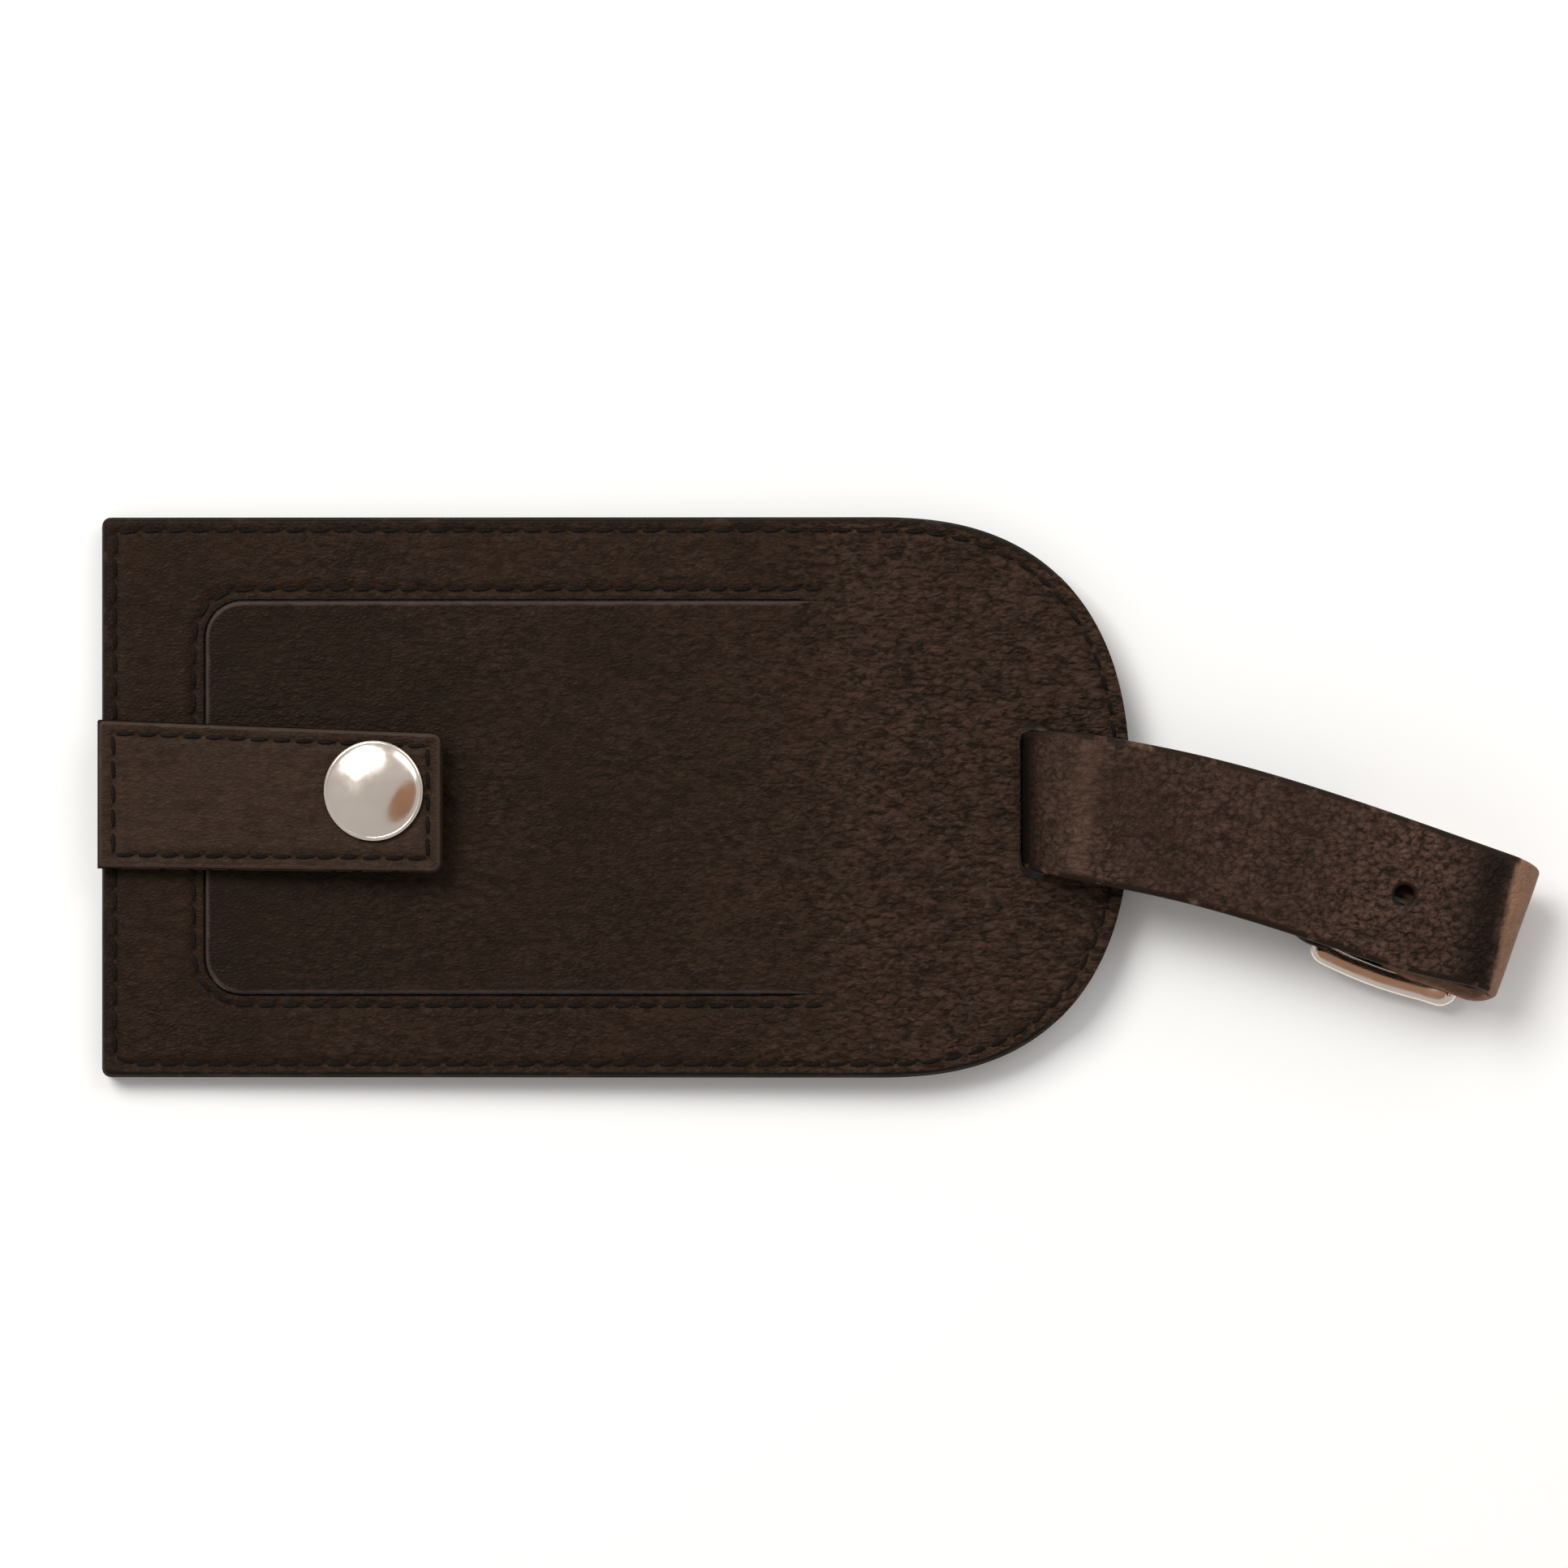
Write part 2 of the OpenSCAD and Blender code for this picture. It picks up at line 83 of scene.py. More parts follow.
# ---------- dimensions: mm, with x from the square end, y across and z up from the back ----------

mounts = {m["name"]: m for m in frame["record"]["mounts"]}
LIE = math.asin(mounts["back_face"]["axis"][0])
back_lo, back_hi = mm_box("back_panel")
LEFT = back_lo[0]
LENGTH = (back_hi[0] - LEFT) / math.cos(LIE)
HALF = back_hi[1]
ROUND_DEPTH = 30.7
ROUND_POWER = 2.5
CORNER_R = 1.0
FACE_TOP = 3.35
MEET = 1.62
SEAM_IN = 1.6
PITCH = 2.85
THREAD_R = 0.27
HOLE_EDGE = 0.3

# The flap, the cut round it (KERF) and the window's seam outside it
FLAP_X = 12.5
FLAP_TOP = 3.75
FLAP_UNDER = 2.75
FLAP_END = FLAP_X + 76.6
FLAP_HALF = mm_box("flap_leather")[1][1]
FLAP_CORNER = 4.4
FLAP_FLARE = 12.0
KERF = 0.12
WINDOW_SEAM = 1.45
WINDOW_SEAM_END = 86.6

SLOT_X = LENGTH / 2 + 48.3
SLOT_W = 3.5
SLOT_LENGTH = 18.8
SLOT_Y = -0.4

# The tab, measured along it from its hinge, with the stud's cap
TAB_HINGE_X = 3.2
TAB_HINGE_Z = 5.25
TAB_RISE = math.radians(4.2)
TAB_T = 1.6
TAB_LINING_T = 0.6
TAB_LENGTH = 37.9
TAB_Y = 0.3
TAB_ROOT = -3.5
TAB_SEAM = 1.65
TAB_SEAM_ROOT = -1.6
TAB_BEND = (-1.3, 2.2)
STUD_ON_TAB = 29.78
STUD_Y = 0.8
STUD_X = TAB_HINGE_X + STUD_ON_TAB * math.cos(TAB_RISE)
STUD_HOLE_R = 3.85
POST_HOLE_R = 1.5
CAP_R = 6.0
CAP_H = 1.6

# The strap. Names in _S are distances from STRAP_START (row frame) along its middle, seen from above.
STRAP_START = (25.9, -1.3)
STRAP_TURN = 19.5
STRAP_REACH = 58.0
STRAP_W = 17.5
STRAP_WAIST = 15.6
STRAP_T = 1.3
CHAPE_T = 0.9
LOOP_TOP = 10.0
CROWN = 0.35
LEG_LOW = 0.85
SWING_S = 13.5
SWING_BEND = (6.0, 21.0)
SWING_Z = 5.2
FOLD_S = 55.9
FOLD_PULL = 1.5
SLOT_PINCH = 0.7
SLOT_SHIFT = 1.0
OVER_FRONT_Z = 3.75
TIP_Z = 1.75
TIP_S = 26.5
OFFSET_LOW = -1.4
CHAPE_Z = 2.95
CHAPE_S = (19.5, 25.5)
TURN_Z = 3.95
TURN_S = 33.2
SPARE_HOLE_S = 45.0
SPARE_HOLE_R = 1.2
PRONG_SLOT_S = 46.0
PRONG_SLOT_L = 9.0
PRONG_SLOT_W = 2.0

# The buckle and the keeper
KEEPER_S = 30.0
KEEPER_L = 4.6
KEEPER_T = 0.7
HEEL_S = 37.5
HEEL_Z = 4.2
FRONT_S = 54.8
FRONT_Z = 2.1
BUCKLE_HALF = 8.8
BUCKLE_BOW = 0.6
WIRE_R = 0.65
FRONT_BAR_R = 0.9
PRONG_R = 0.55
BUCKLE_TILT = math.atan2(HEEL_Z - FRONT_Z, FRONT_S - HEEL_S)
BAR_LENGTH = (FRONT_S - HEEL_S) / math.cos(BUCKLE_TILT)


# ---------- numbers and curves ----------

def smooth(v):
    u = np.clip(v, 0, 1)
    return u * u * (3 - 2 * u)


def mix(a, b, u):
    return a + (b - a) * u


def gauss(d, width):
    return np.exp(-(d / width) ** 2)


def signed_power(v, p):
    return np.sign(v) * np.abs(v) ** p


def arc(cx, cy, r, a0, a1, n):
    a = np.radians(np.linspace(a0, a1, n + 1))
    return np.stack([cx + r * np.cos(a), cy + r * np.sin(a)], 1)


def turns(n):
    return np.linspace(0, 2 * math.pi, n + 1)[:-1]


def along(line):
    """Distance travelled at each point of a line."""
    return np.r_[0, np.cumsum(np.linalg.norm(np.diff(line, axis=0), axis=1))]


def closed_line(line):
    return np.vstack([line, line[:1]])


def resample(points, step, closed=True):
    """The same line with a point about every step mm."""
    line = closed_line(points) if closed else np.asarray(points)
    travel = along(line)
    n = max(2, int(round(travel[-1] / step)))
    t = np.linspace(0, travel[-1], n + 1)
    t = t[:-1] if closed else t
    return np.stack([np.interp(t, travel, line[:, k]) for k in range(line.shape[1])], 1)


def nearest(points, spots):
    """Distance from each flat point to the nearest spot."""
    tree = KDTree(len(spots))
    for k, (x, y) in enumerate(spots):
        tree.insert((x, y, 0), k)
    tree.balance()
    return np.array([tree.find((x, y, 0))[2] for x, y in points[:, :2]])


def distance(points, line, closed=False):
    """Distance from each flat point to a line."""
    return nearest(points, np.vstack([resample(line, 0.05, closed), line]))


def inside(points, loop, chunk=4000):
    """Which flat points lie inside a closed loop."""
    a, b = loop, np.roll(loop, -1, axis=0)
    dy = np.where(b[:, 1] == a[:, 1], 1e-12, b[:, 1] - a[:, 1])
    out = np.empty(len(points), bool)
    for i in range(0, len(points), chunk):
        x, y = points[i:i + chunk, 0][:, None], points[i:i + chunk, 1][:, None]
        crosses = (a[:, 1] > y) != (b[:, 1] > y)
        at = a[:, 0] + (y - a[:, 1]) * (b[:, 0] - a[:, 0]) / dy
        out[i:i + chunk] = np.logical_and(crosses, x < at).sum(1) % 2 == 1
    return out


def in_sheet(points, loops):
    """Which points lie inside the first loop and outside the others."""
    ok = inside(points, loops[0])
    for hole in loops[1:]:
        ok &= ~inside(points, hole)
    return ok


def moved_left(line, d, closed=True):
    """A line moved by d mm to the left of its direction."""
    t = np.roll(line, -1, axis=0) - np.roll(line, 1, axis=0) if closed else np.gradient(line, axis=0)
    t = t / np.maximum(np.linalg.norm(t, axis=1), 1e-9)[:, None]
    return line + np.stack([-t[:, 1], t[:, 0]], 1) * d


def waves(x, y, size, seed):
    """Soft seeded unevenness between about -1 and 1, with waves about size mm long."""
    rng = np.random.default_rng(SEED + seed)
    out = np.zeros(len(x))
    for _ in range(9):
        turn = rng.uniform(0, 2 * math.pi)
        pace = rng.uniform(0.6, 1.6) / size
        phase = rng.uniform(0, 2 * math.pi)
        out += np.sin(2 * math.pi * pace * (x * math.cos(turn) + y * math.sin(turn)) + phase)
    return out / 4.5


# ---------- outlines, counter-clockwise and in mm from the middle of the square end ----------

def tag_outline(inset=0.0):
    half = HALF - inset
    x = inset + CORNER_R
    t = np.radians(np.linspace(-90, 90, 241))
    depth = (ROUND_DEPTH - inset) * np.clip(np.cos(t), 0, 1) ** (2 / ROUND_POWER)
    end = np.stack([LENGTH - ROUND_DEPTH + depth, half * signed_power(np.sin(t), 2 / ROUND_POWER)], 1)
    return np.vstack([arc(x, CORNER_R - half, CORNER_R, 180, 270, 6),
                      end,
                      arc(x, half - CORNER_R, CORNER_R, 90, 180, 6)])


def flap_outline(grow=0.0, end=FLAP_END, grow_end=None):
    """The flap's free edge, larger all round by grow, or by grow_end at its right end."""
    r, h = FLAP_CORNER + grow, FLAP_HALF + grow
    x = FLAP_X - grow + r
    far = FLAP_HALF + (grow if grow_end is None else grow_end)
    return np.vstack([[[end, far], [end - FLAP_FLARE, h]],
                      arc(x, h - r, r, 90, 180, 12),
                      arc(x, r - h, r, 180, 270, 12),
                      [[end - FLAP_FLARE, -h], [end, -far]]])


def flap_fade(p):
    """1 where the cut round the flap ends, inside the face leather."""
    return smooth((p[:, 0] - FLAP_END + 7) / 6) * (np.abs(p[:, 1]) < FLAP_HALF + 3)


def slot_outline():
    r = SLOT_W / 2
    h = SLOT_LENGTH / 2 - r
    return np.vstack([arc(SLOT_X + r, SLOT_Y + h, r, 0, 180, 10),
                      arc(SLOT_X + r, SLOT_Y - h, r, 180, 360, 10)])


def oblong(x0, x1, y, r):
    """A slot with round ends, along x."""
    return np.vstack([arc(x1, y, r, -90, 90, 8), arc(x0, y, r, 90, 270, 8)])


def circle(x, y, r, n=32):
    return arc(x, y, r, 0, 360, n)[:-1]


# ---------- placing flat shapes in the row frame, still in mm ----------

def tag_place(p):
    c, s = math.cos(LIE), math.sin(LIE)
    return np.stack([LEFT + p[:, 0] * c - p[:, 2] * s, p[:, 1], p[:, 0] * s + p[:, 2] * c], 1)


def tab_place(p):
    """x from the tab's hinge, y across, z above its underside. The root lies level, the rest rises."""
    rise = TAB_RISE * smooth((p[:, 0] + 1.5) / 3)
    height = p[:, 2] - TAB_T
    x = TAB_HINGE_X + p[:, 0] * np.cos(rise) - height * np.sin(rise)
    z = TAB_HINGE_Z + p[:, 0] * np.sin(rise) + height * np.cos(rise)
    return tag_place(np.stack([x, p[:, 1], z], 1))


def from_below(place):
    """The same placing for a sheet drawn with its z downward."""
    return lambda p: place(np.column_stack([p[:, 0], p[:, 1], -p[:, 2]]))


def heading(s):
    """The strap's direction at s, seen from above. It turns less and less away from the slot."""
    return -np.radians(STRAP_TURN) * (1 - (1 - np.clip(np.asarray(s, float) / STRAP_REACH, 0, 1)) ** 3)


def strap_plan(step=0.25, length=66):
    """The strap's middle line seen from above, as distances and points."""
    s = np.arange(0, length, step)
    turn = heading(s[1:] - step / 2)
    steps = step * np.cumsum(np.stack([np.cos(turn), np.sin(turn)], 1), 0)
    return s, np.array(STRAP_START) + np.vstack([[0, 0], steps])


plan_s, plan_xy = strap_plan()


def strap_point(s, side, z):
    """Points at s along the strap, moved sideways and lifted."""
    s = np.asarray(s, float)
    h = heading(s)
    x = np.interp(s, plan_s, plan_xy[:, 0]) + np.minimum(s, 0) - side * np.sin(h)
    y = np.interp(s, plan_s, plan_xy[:, 1]) + side * np.cos(h)
    return np.stack([x, y, z + 0 * s], 1)


def strap_spot(s, side, z):
    return strap_point(np.array([s]), side, z)[0]


def on_strap(points, s, base):
    """Points turned to the strap's direction at s and moved to base."""
    h = float(heading(s))
    x = base[0] + points[:, 0] * math.cos(h) - points[:, 1] * math.sin(h)
    y = base[1] + points[:, 0] * math.sin(h) + points[:, 1] * math.cos(h)
    return np.stack([x, y, base[2] + points[:, 2]], 1)


def metres(place, x, y, z):
    """One placed point in metres, for the ends of a blend."""
    return place(np.array([[x, y, z]]))[0] * MM


# ---------- meshes ----------

def link(name, data):
    piece = bpy.data.objects.new(name, data)
    bpy.context.scene.collection.objects.link(piece)
    return piece


def level(z):
    """A height rule that is the same everywhere."""
    return lambda p, d: np.full(len(p), z)


def make(name, points, faces, material, attributes, place):
    """A mesh object in metres from points in mm, smooth but with its hard edges kept."""
    points = place(np.asarray(points))
    mesh = bpy.data.meshes.new(name)
    mesh.from_pydata((points * MM).tolist(), [], [tuple(int(i) for i in f) for f in faces])
    mesh.update()
    for key, values in (attributes or {}).items():
        mesh.attributes.new(key, "FLOAT", "POINT").data.foreach_set("value", np.asarray(values, np.float32))
    bm = bmesh.new()
    bm.from_mesh(mesh)
    bmesh.ops.recalc_face_normals(bm, faces=bm.faces)
    bm.to_mesh(mesh)
    bm.free()
    mesh.polygons.foreach_set("use_smooth", [True] * len(mesh.polygons))
    mesh.set_sharp_from_angle(angle=math.radians(50))
    mesh.materials.append(material)
    return link(name, mesh)


def triangulate(loops, inner):
    """Triangles that fill the first loop outside the others. The loops' points come first."""
    points = np.vstack(loops + [inner])
    edges, start = [], 0
    for loop in loops:
        n = len(loop)
        edges += [(start + k, start + (k + 1) % n) for k in range(n)]
        start += n
    result = delaunay_2d_cdt([Vector(p) for p in points], edges, [], 0, 1e-6, True)
    source = np.array([ids[0] if ids else -1 for ids in result[3]])
    triangles = source[np.array(result[2])]
    triangles = triangles[(triangles >= 0).all(1)]
    return points, triangles[in_sheet(points[triangles].mean(1), loops)]


def spread(loops, insets, step, rows):
    """Points inside the loops: rings close to the edges, rows along given lines, and an even grid."""
    def clear(p, gap):
        ok = in_sheet(p, loops)
        for loop in loops:
            ok &= distance(p, loop, closed=True) > gap
        return p[ok]

    rings = [clear(moved_left(loop, d), d * 0.97) for d in insets for loop in loops]
    gap = insets[-1] + step * 0.45
    lo, hi = loops[0].min(0), loops[0].max(0)
    gx, gy = np.meshgrid(np.arange(lo[0], hi[0], step), np.arange(lo[1], hi[1], step * 0.866))
    gx = gx + (np.arange(len(gy)) % 2 * step / 2)[:, None]
    grid = clear(np.stack([gx.ravel(), gy.ravel()], 1), gap)
    if rows:
        lines = clear(np.vstack([resample(row, step * 0.5, closed=False) for row in rows]), gap)
        cells = np.unique(np.round(lines / (step * 0.35)).astype(int), axis=0, return_index=True)[1]
        lines = lines[cells]
        grid = np.vstack([grid[nearest(grid, lines) > step * 0.55], lines])
    return np.vstack(rings + [grid])


def plate(name, outline, holes, top, under, material, place, edge=0.6, fall=0.6,
          step=0.6, step_under=2.0, rows=(), joined=None, soften=None, attributes=None):
    """A leather or cloth sheet with rounded edges. top and under give its two heights for points and
    their distance to the edge. joined marks edge points that go on into another piece and stay square,
    and soften is 1 where an edge fades out."""
    loops = [resample(outline, step * 0.8)] + [resample(hole, step * 0.6)[::-1] for hole in holes]
    insets = [edge * k for k in (0.06, 0.2, 0.42, 0.7, 1.05)]

    def edge_distance(p):
        d = np.full(len(p), 99.0)
        for k, loop in enumerate(loops):
            scale = edge / HOLE_EDGE if k else 1.0
            line = closed_line(loop)
            free = ~joined(line) if joined else np.ones(len(line), bool)
            for run in np.split(np.arange(len(line)), np.where(~free)[0]):
                run = run[free[run]]
                if len(run) > 1:
                    d = np.minimum(d, distance(p, line[run]) * scale)
        return d

    def side(height, sign, step, rows, insets):
        p, triangles = triangulate(loops, spread(loops, insets, step, rows))
        d = edge_distance(p)
        d = d + (soften(p) * 2 * edge if soften else 0)
        rounding = fall * (1 - np.sqrt(np.clip(1 - np.clip(1 - d / edge, 0, 1) ** 2, 0, 1)))
        return np.column_stack([p, height(p, d) - sign * rounding]), triangles, d

    upper, upper_faces, upper_d = side(top, 1, step, rows, insets)
    lower, lower_faces, lower_d = side(under, -1, step_under, (), insets[1:])
    shift = len(upper)
    walls, start = [], 0
    for loop in loops:
        n = len(loop)
        for k in range(n):
            a, b = start + k, start + (k + 1) % n
            walls.append((a, b, shift + b, shift + a))
        start += n
    faces = [tuple(f) for f in upper_faces] + [tuple(shift + f[::-1]) for f in lower_faces] + walls
    points = np.vstack([upper, lower])
    data = {"edge": np.r_[upper_d, lower_d]}
    for key, rule in (attributes or {}).items():
        data[key] = rule(points, data["edge"])
    return make(name, points, faces, material, data, place)


def loft(rings, closed=False, start=0):
    """Faces between rings of equally many points, with flat fans at open ends."""
    m, n = len(rings), len(rings[0])
    faces = []
    for i in range(m if closed else m - 1):
        a, b = start + i * n, start + (i + 1) % m * n
        faces += [(a + k, a + (k + 1) % n, b + (k + 1) % n, b + k) for k in range(n)]
    if not closed:
        faces.append(tuple(start + k for k in range(n))[::-1])
        faces.append(tuple(start + (m - 1) * n + k for k in range(n)))
    return faces


def tube_rings(line, radius, sides=8, closed=False, up=(0, 0, 1)):
    """Rings of a round tube along a line. radius is one number or one for each point."""
    line = np.asarray(line, float)
    t = np.roll(line, -1, 0) - np.roll(line, 1, 0) if closed else np.gradient(line, axis=0)
    t /= np.linalg.norm(t, axis=1)[:, None]
    across = np.cross(t, np.array(up, float))
    across /= np.linalg.norm(across, axis=1)[:, None]
    lift = np.cross(across, t)
    a = turns(sides)
    r = np.broadcast_to(radius, len(line))[:, None, None]
    spokes = across[:, None] * np.cos(a)[None, :, None] + lift[:, None] * np.sin(a)[None, :, None]
    return line[:, None] + r * spokes


def make_lofts(name, lofts, material, place, closed=False, attributes=None):
    """One piece from several lofts of rings."""
    points, faces, start = [], [], 0
    for rings in lofts:
        faces += loft(rings, closed, start)
        points.append(np.asarray(rings).reshape(-1, 3))
        start += len(points[-1])
    return make(name, np.vstack(points), faces, material, attributes, place)


def stitches(name, holes, material, place, height, down=1):
    """Thread from hole to hole: short round bars that dip at both ends and lean a little to one side."""
    rng = np.random.default_rng(SEED + len(name))
    stitch_rings = []
    shape = np.linspace(0, 1, 9)
    body = np.sin(np.pi * shape) ** 0.35
    for a, b in zip(holes[:-1], holes[1:]):
        d = b - a
        side = np.array([-d[1], d[0]]) / np.linalg.norm(d)
        lean = 0.07 + rng.uniform(-0.03, 0.03)
        centre = a + d * mix(0.1, 0.9, shape)[:, None] + side * (lean * (shape - 0.5) * 2)[:, None]
        z = height(centre) + down * (mix(-0.45, 0.0, body) + rng.uniform(-0.02, 0.02))
        twist = 1 + 0.07 * np.sin(shape * 2 * math.pi * 3 + rng.uniform(0, 6))
        r = THREAD_R * mix(0.55, 1, body) * twist
        stitch_rings.append(tube_rings(np.column_stack([centre, z]), r, 7))
    return make_lofts(name, stitch_rings, material, place)


def lathe(profile, centre, segments):
    """Rings of a turned shape from (radius, height) points, about a vertical axis."""
    a = turns(segments)
    x, y, z = centre
    return [np.column_stack([x + r * np.cos(a), y + r * np.sin(a), np.full(segments, z + up)])
            for r, up in profile]


# ---------- material helpers ----------

class Nodes:
    """A new material's node tree, with short ways to add and join nodes."""

    def __init__(self, name):
        self.material = bpy.data.materials.new(name)
        self.material.use_nodes = True
        self.tree = self.material.node_tree
        self.shader = self.tree.nodes["Principled BSDF"]
        self.place = self.add("ShaderNodeTexCoord").outputs["Object"]

    def add(self, kind, inputs=None, **settings):
        node = self.tree.nodes.new(kind)
        for key, value in settings.items():
            setattr(node, key, value)
        for key, value in (inputs or {}).items():
            self.put(node.inputs[key], value)
        return node

    def put(self, socket, value):
        if isinstance(value, bpy.types.NodeSocket):
            self.tree.links.new(value, socket)
        else:
            socket.default_value = value

    def set(self, **values):
        for key, value in values.items():
            self.put(self.shader.inputs[key.replace("_", " ")], value)

    def attribute(self, name):
        return self.add("ShaderNodeAttribute", attribute_name=name).outputs["Fac"]

    def vector(self, operation, a, b):
        return self.add("ShaderNodeVectorMath", {0: a, 1: b}, operation=operation).outputs[0]

    def noise(self, size_mm, detail=3.0, rough=0.5, stretch=None, distortion=0.0):
        where = self.vector("MULTIPLY", self.place, stretch) if stretch else self.place
        inputs = {"Vector": where, "Scale": 1 / (size_mm * MM), "Detail": detail, "Roughness": rough,
                  "Distortion": distortion}
        return self.add("ShaderNodeTexNoise", inputs).outputs["Fac"]

    def cells(self, size_mm, feature, warp, stretch):
        """Distances in a pattern of cells whose outlines wander by warp of their size."""
        size = size_mm * MM
        bend = self.add("ShaderNodeTexNoise", {"Vector": self.place, "Scale": 0.6 / size, "Detail": 2.0})
        shift = self.vector("MULTIPLY", bend.outputs["Color"], (warp * size,) * 3)
        where = self.vector("MULTIPLY", self.vector("ADD", self.place, shift), stretch)
        inputs = {"Vector": where, "Scale": 1 / size}
        return self.add("ShaderNodeTexVoronoi", inputs, feature=feature).outputs["Distance"]

    def math(self, operation, a, b=0.0):
        return self.add("ShaderNodeMath", {0: a, 1: b}, operation=operation).outputs[0]

    def plus(self, a, b):
        return self.math("ADD", a, b)

    def times(self, a, b):
        return self.math("MULTIPLY", a, b)

    def without(self, a):
        return self.math("SUBTRACT", 1.0, a)

    def ramp(self, value, low, high, to_low=0.0, to_high=1.0):
        inputs = {"Value": value, "From Min": low, "From Max": high, "To Min": to_low, "To Max": to_high}
        return self.add("ShaderNodeMapRange", inputs).outputs["Result"]

    def blend(self, factor, a, b):
        return self.add("ShaderNodeMix", {0: factor, 6: a, 7: b}, data_type="RGBA").outputs[2]

    def bump(self, height, depth_mm, strength=1.0):
        inputs = {"Height": height, "Distance": depth_mm * MM, "Strength": strength}
        return self.add("ShaderNodeBump", inputs).outputs["Normal"]


def srgb(r, g, b):
    """Shader colour of an sRGB value given as 0 to 255."""
    def linear(c):
        return c / 255 / 12.92 if c <= 10 else ((c / 255 + 0.055) / 1.055) ** 2.4
    return (linear(r), linear(g), linear(b), 1.0)


def darker(colour, share):
    return tuple(c * share for c in colour[:3]) + (1.0,)


# ---------- materials ----------

def leather(name, base, light, dark, highlight_colour, grain_mm=0.85, drawn=0.5, dots=0.12, creases=0.4,
            edge_paint_and_highlight=srgb(20, 15, 12), rub_and_highlight=srgb(64, 50, 42), paint_mm=0.68):
    """Grained leather with a painted edge. The attributes are edge, the distance to the edge in mm,
    grain, how coarse the pebbles are, and tan: below 0 for painted shade, a little above 0 for a painted
    highlight where a bend faces the light, and near 1 where it is rubbed or cracked to the tan below, which
    on the strap's fold is partly a painted highlight. drawn is how much the pebbles are stretched along the
    tag, and dots how much a painted highlight lightens their tops. dark is the painted shade between the
    pebbles and in folds, and the colour after it is the painted highlight on the pebbles' tops and in
    streaks. The edge paint is set light on the flap and the tab, where it is a painted highlight along the
    edge, and the colour for rubbed edge paint is also the painted highlight on a bend."""
    n = Nodes(name)
    grain = n.attribute("grain")
    edge = n.attribute("edge")
    tan = n.attribute("tan")
    pull = (drawn, 1.0, 1.0)
    gaps = n.ramp(n.cells(grain_mm, "DISTANCE_TO_EDGE", 0.8, pull), 0.0, 0.3, 0.0, 0.45)
    tops = n.ramp(n.cells(grain_mm, "F1", 0.8, pull), 0.1, 0.75, 0.55, 0.0)
    pebbles = n.plus(gaps, tops)
    fine = n.ramp(n.cells(grain_mm * 0.5, "DISTANCE_TO_EDGE", 0.7, pull), 0.0, 0.3)
    pores = n.noise(0.18, 2.0, 0.6)
    folds = n.noise(1.5, 4.0, 0.6, stretch=(0.35, 1.0, 1.0), distortion=0.6)
    patches = n.noise(8.0, 4.0, 0.55)

    # Uneven dye, with painted shade between the pebbles, between the finer cells and in folds, and a painted
    # highlight on the pebbles' tops and in streaks along the grain
    colour = n.blend(n.ramp(patches, 0.36, 0.66), base, light)
    # Painted shade between the pebbles and between the finer cells
    colour = n.blend(n.times(n.without(pebbles), n.times(grain, 0.6)), colour, dark)
    colour = n.blend(n.times(n.without(fine), 0.22), colour, dark)
    # Painted highlight on the pebbles' tops
    crown = n.times(n.ramp(pebbles, 0.3, 0.95), n.times(grain, dots))
    colour = n.blend(crown, colour, highlight_colour)
    # Streaks of painted highlight along the grain
    streaks = n.ramp(n.noise(0.7, 4.0, 0.6, stretch=pull, distortion=0.9), 0.4, 0.64)
    colour = n.blend(n.times(streaks, n.ramp(grain, 0.12, 1.0, 0.14, 0.64)), colour, highlight_colour)
    # Painted shade in the folds
    colour = n.blend(n.ramp(folds, 0.5, 0.72, 0.0, 0.5), colour, dark)

    # Painted shade where tan is below 0, a painted highlight on bends, and cracked tan, which on the strap's
    # fold is partly a painted highlight where the fold faces the light
    colour = n.blend(n.ramp(tan, -1.0, 0.0, 0.96, 0.0), colour, srgb(11, 8, 7))
    # A painted highlight where a bend faces the light, in the colour for rubbed edge paint
    strands = n.ramp(n.noise(0.7, 3.0, 0.6, stretch=(0.3, 1.0, 1.0)), 0.35, 0.65, 0.35, 1.0)
    colour = n.blend(n.times(n.ramp(tan, 0.0, 0.3), n.times(strands, 0.5)), colour, rub_and_highlight)
    # Cracked tan, and on the strap's fold partly a painted highlight
    ragged = n.ramp(n.noise(1.1, 4.0, 0.65, stretch=(1.0, 0.4, 1.0)), 0.0, 1.0, -0.2, 0.2)
    crack_and_highlight = n.ramp(n.plus(tan, ragged), 0.3, 0.8)
    rubbed = n.blend(n.noise(1.4, 4.0, 0.65), srgb(104, 76, 60), srgb(160, 124, 102))
    colour = n.blend(crack_and_highlight, colour, rubbed)

    # Edge paint, rubbed in places. On the flap and the tab the paint is set light, a painted highlight along
    # the edge
    rim = n.plus(edge, n.ramp(n.noise(1.6, 3.0), 0.0, 1.0, -0.22, 0.22))
    painted = n.ramp(rim, paint_mm - 0.18, paint_mm + 0.17, 1.0, 0.0)
    paint = n.times(painted, n.without(crack_and_highlight))
    worn = n.ramp(n.noise(3.5, 4.0, 0.65), 0.55, 0.72, 0.0, 0.6)
    colour = n.blend(paint, colour, n.blend(worn, edge_paint_and_highlight, rub_and_highlight))

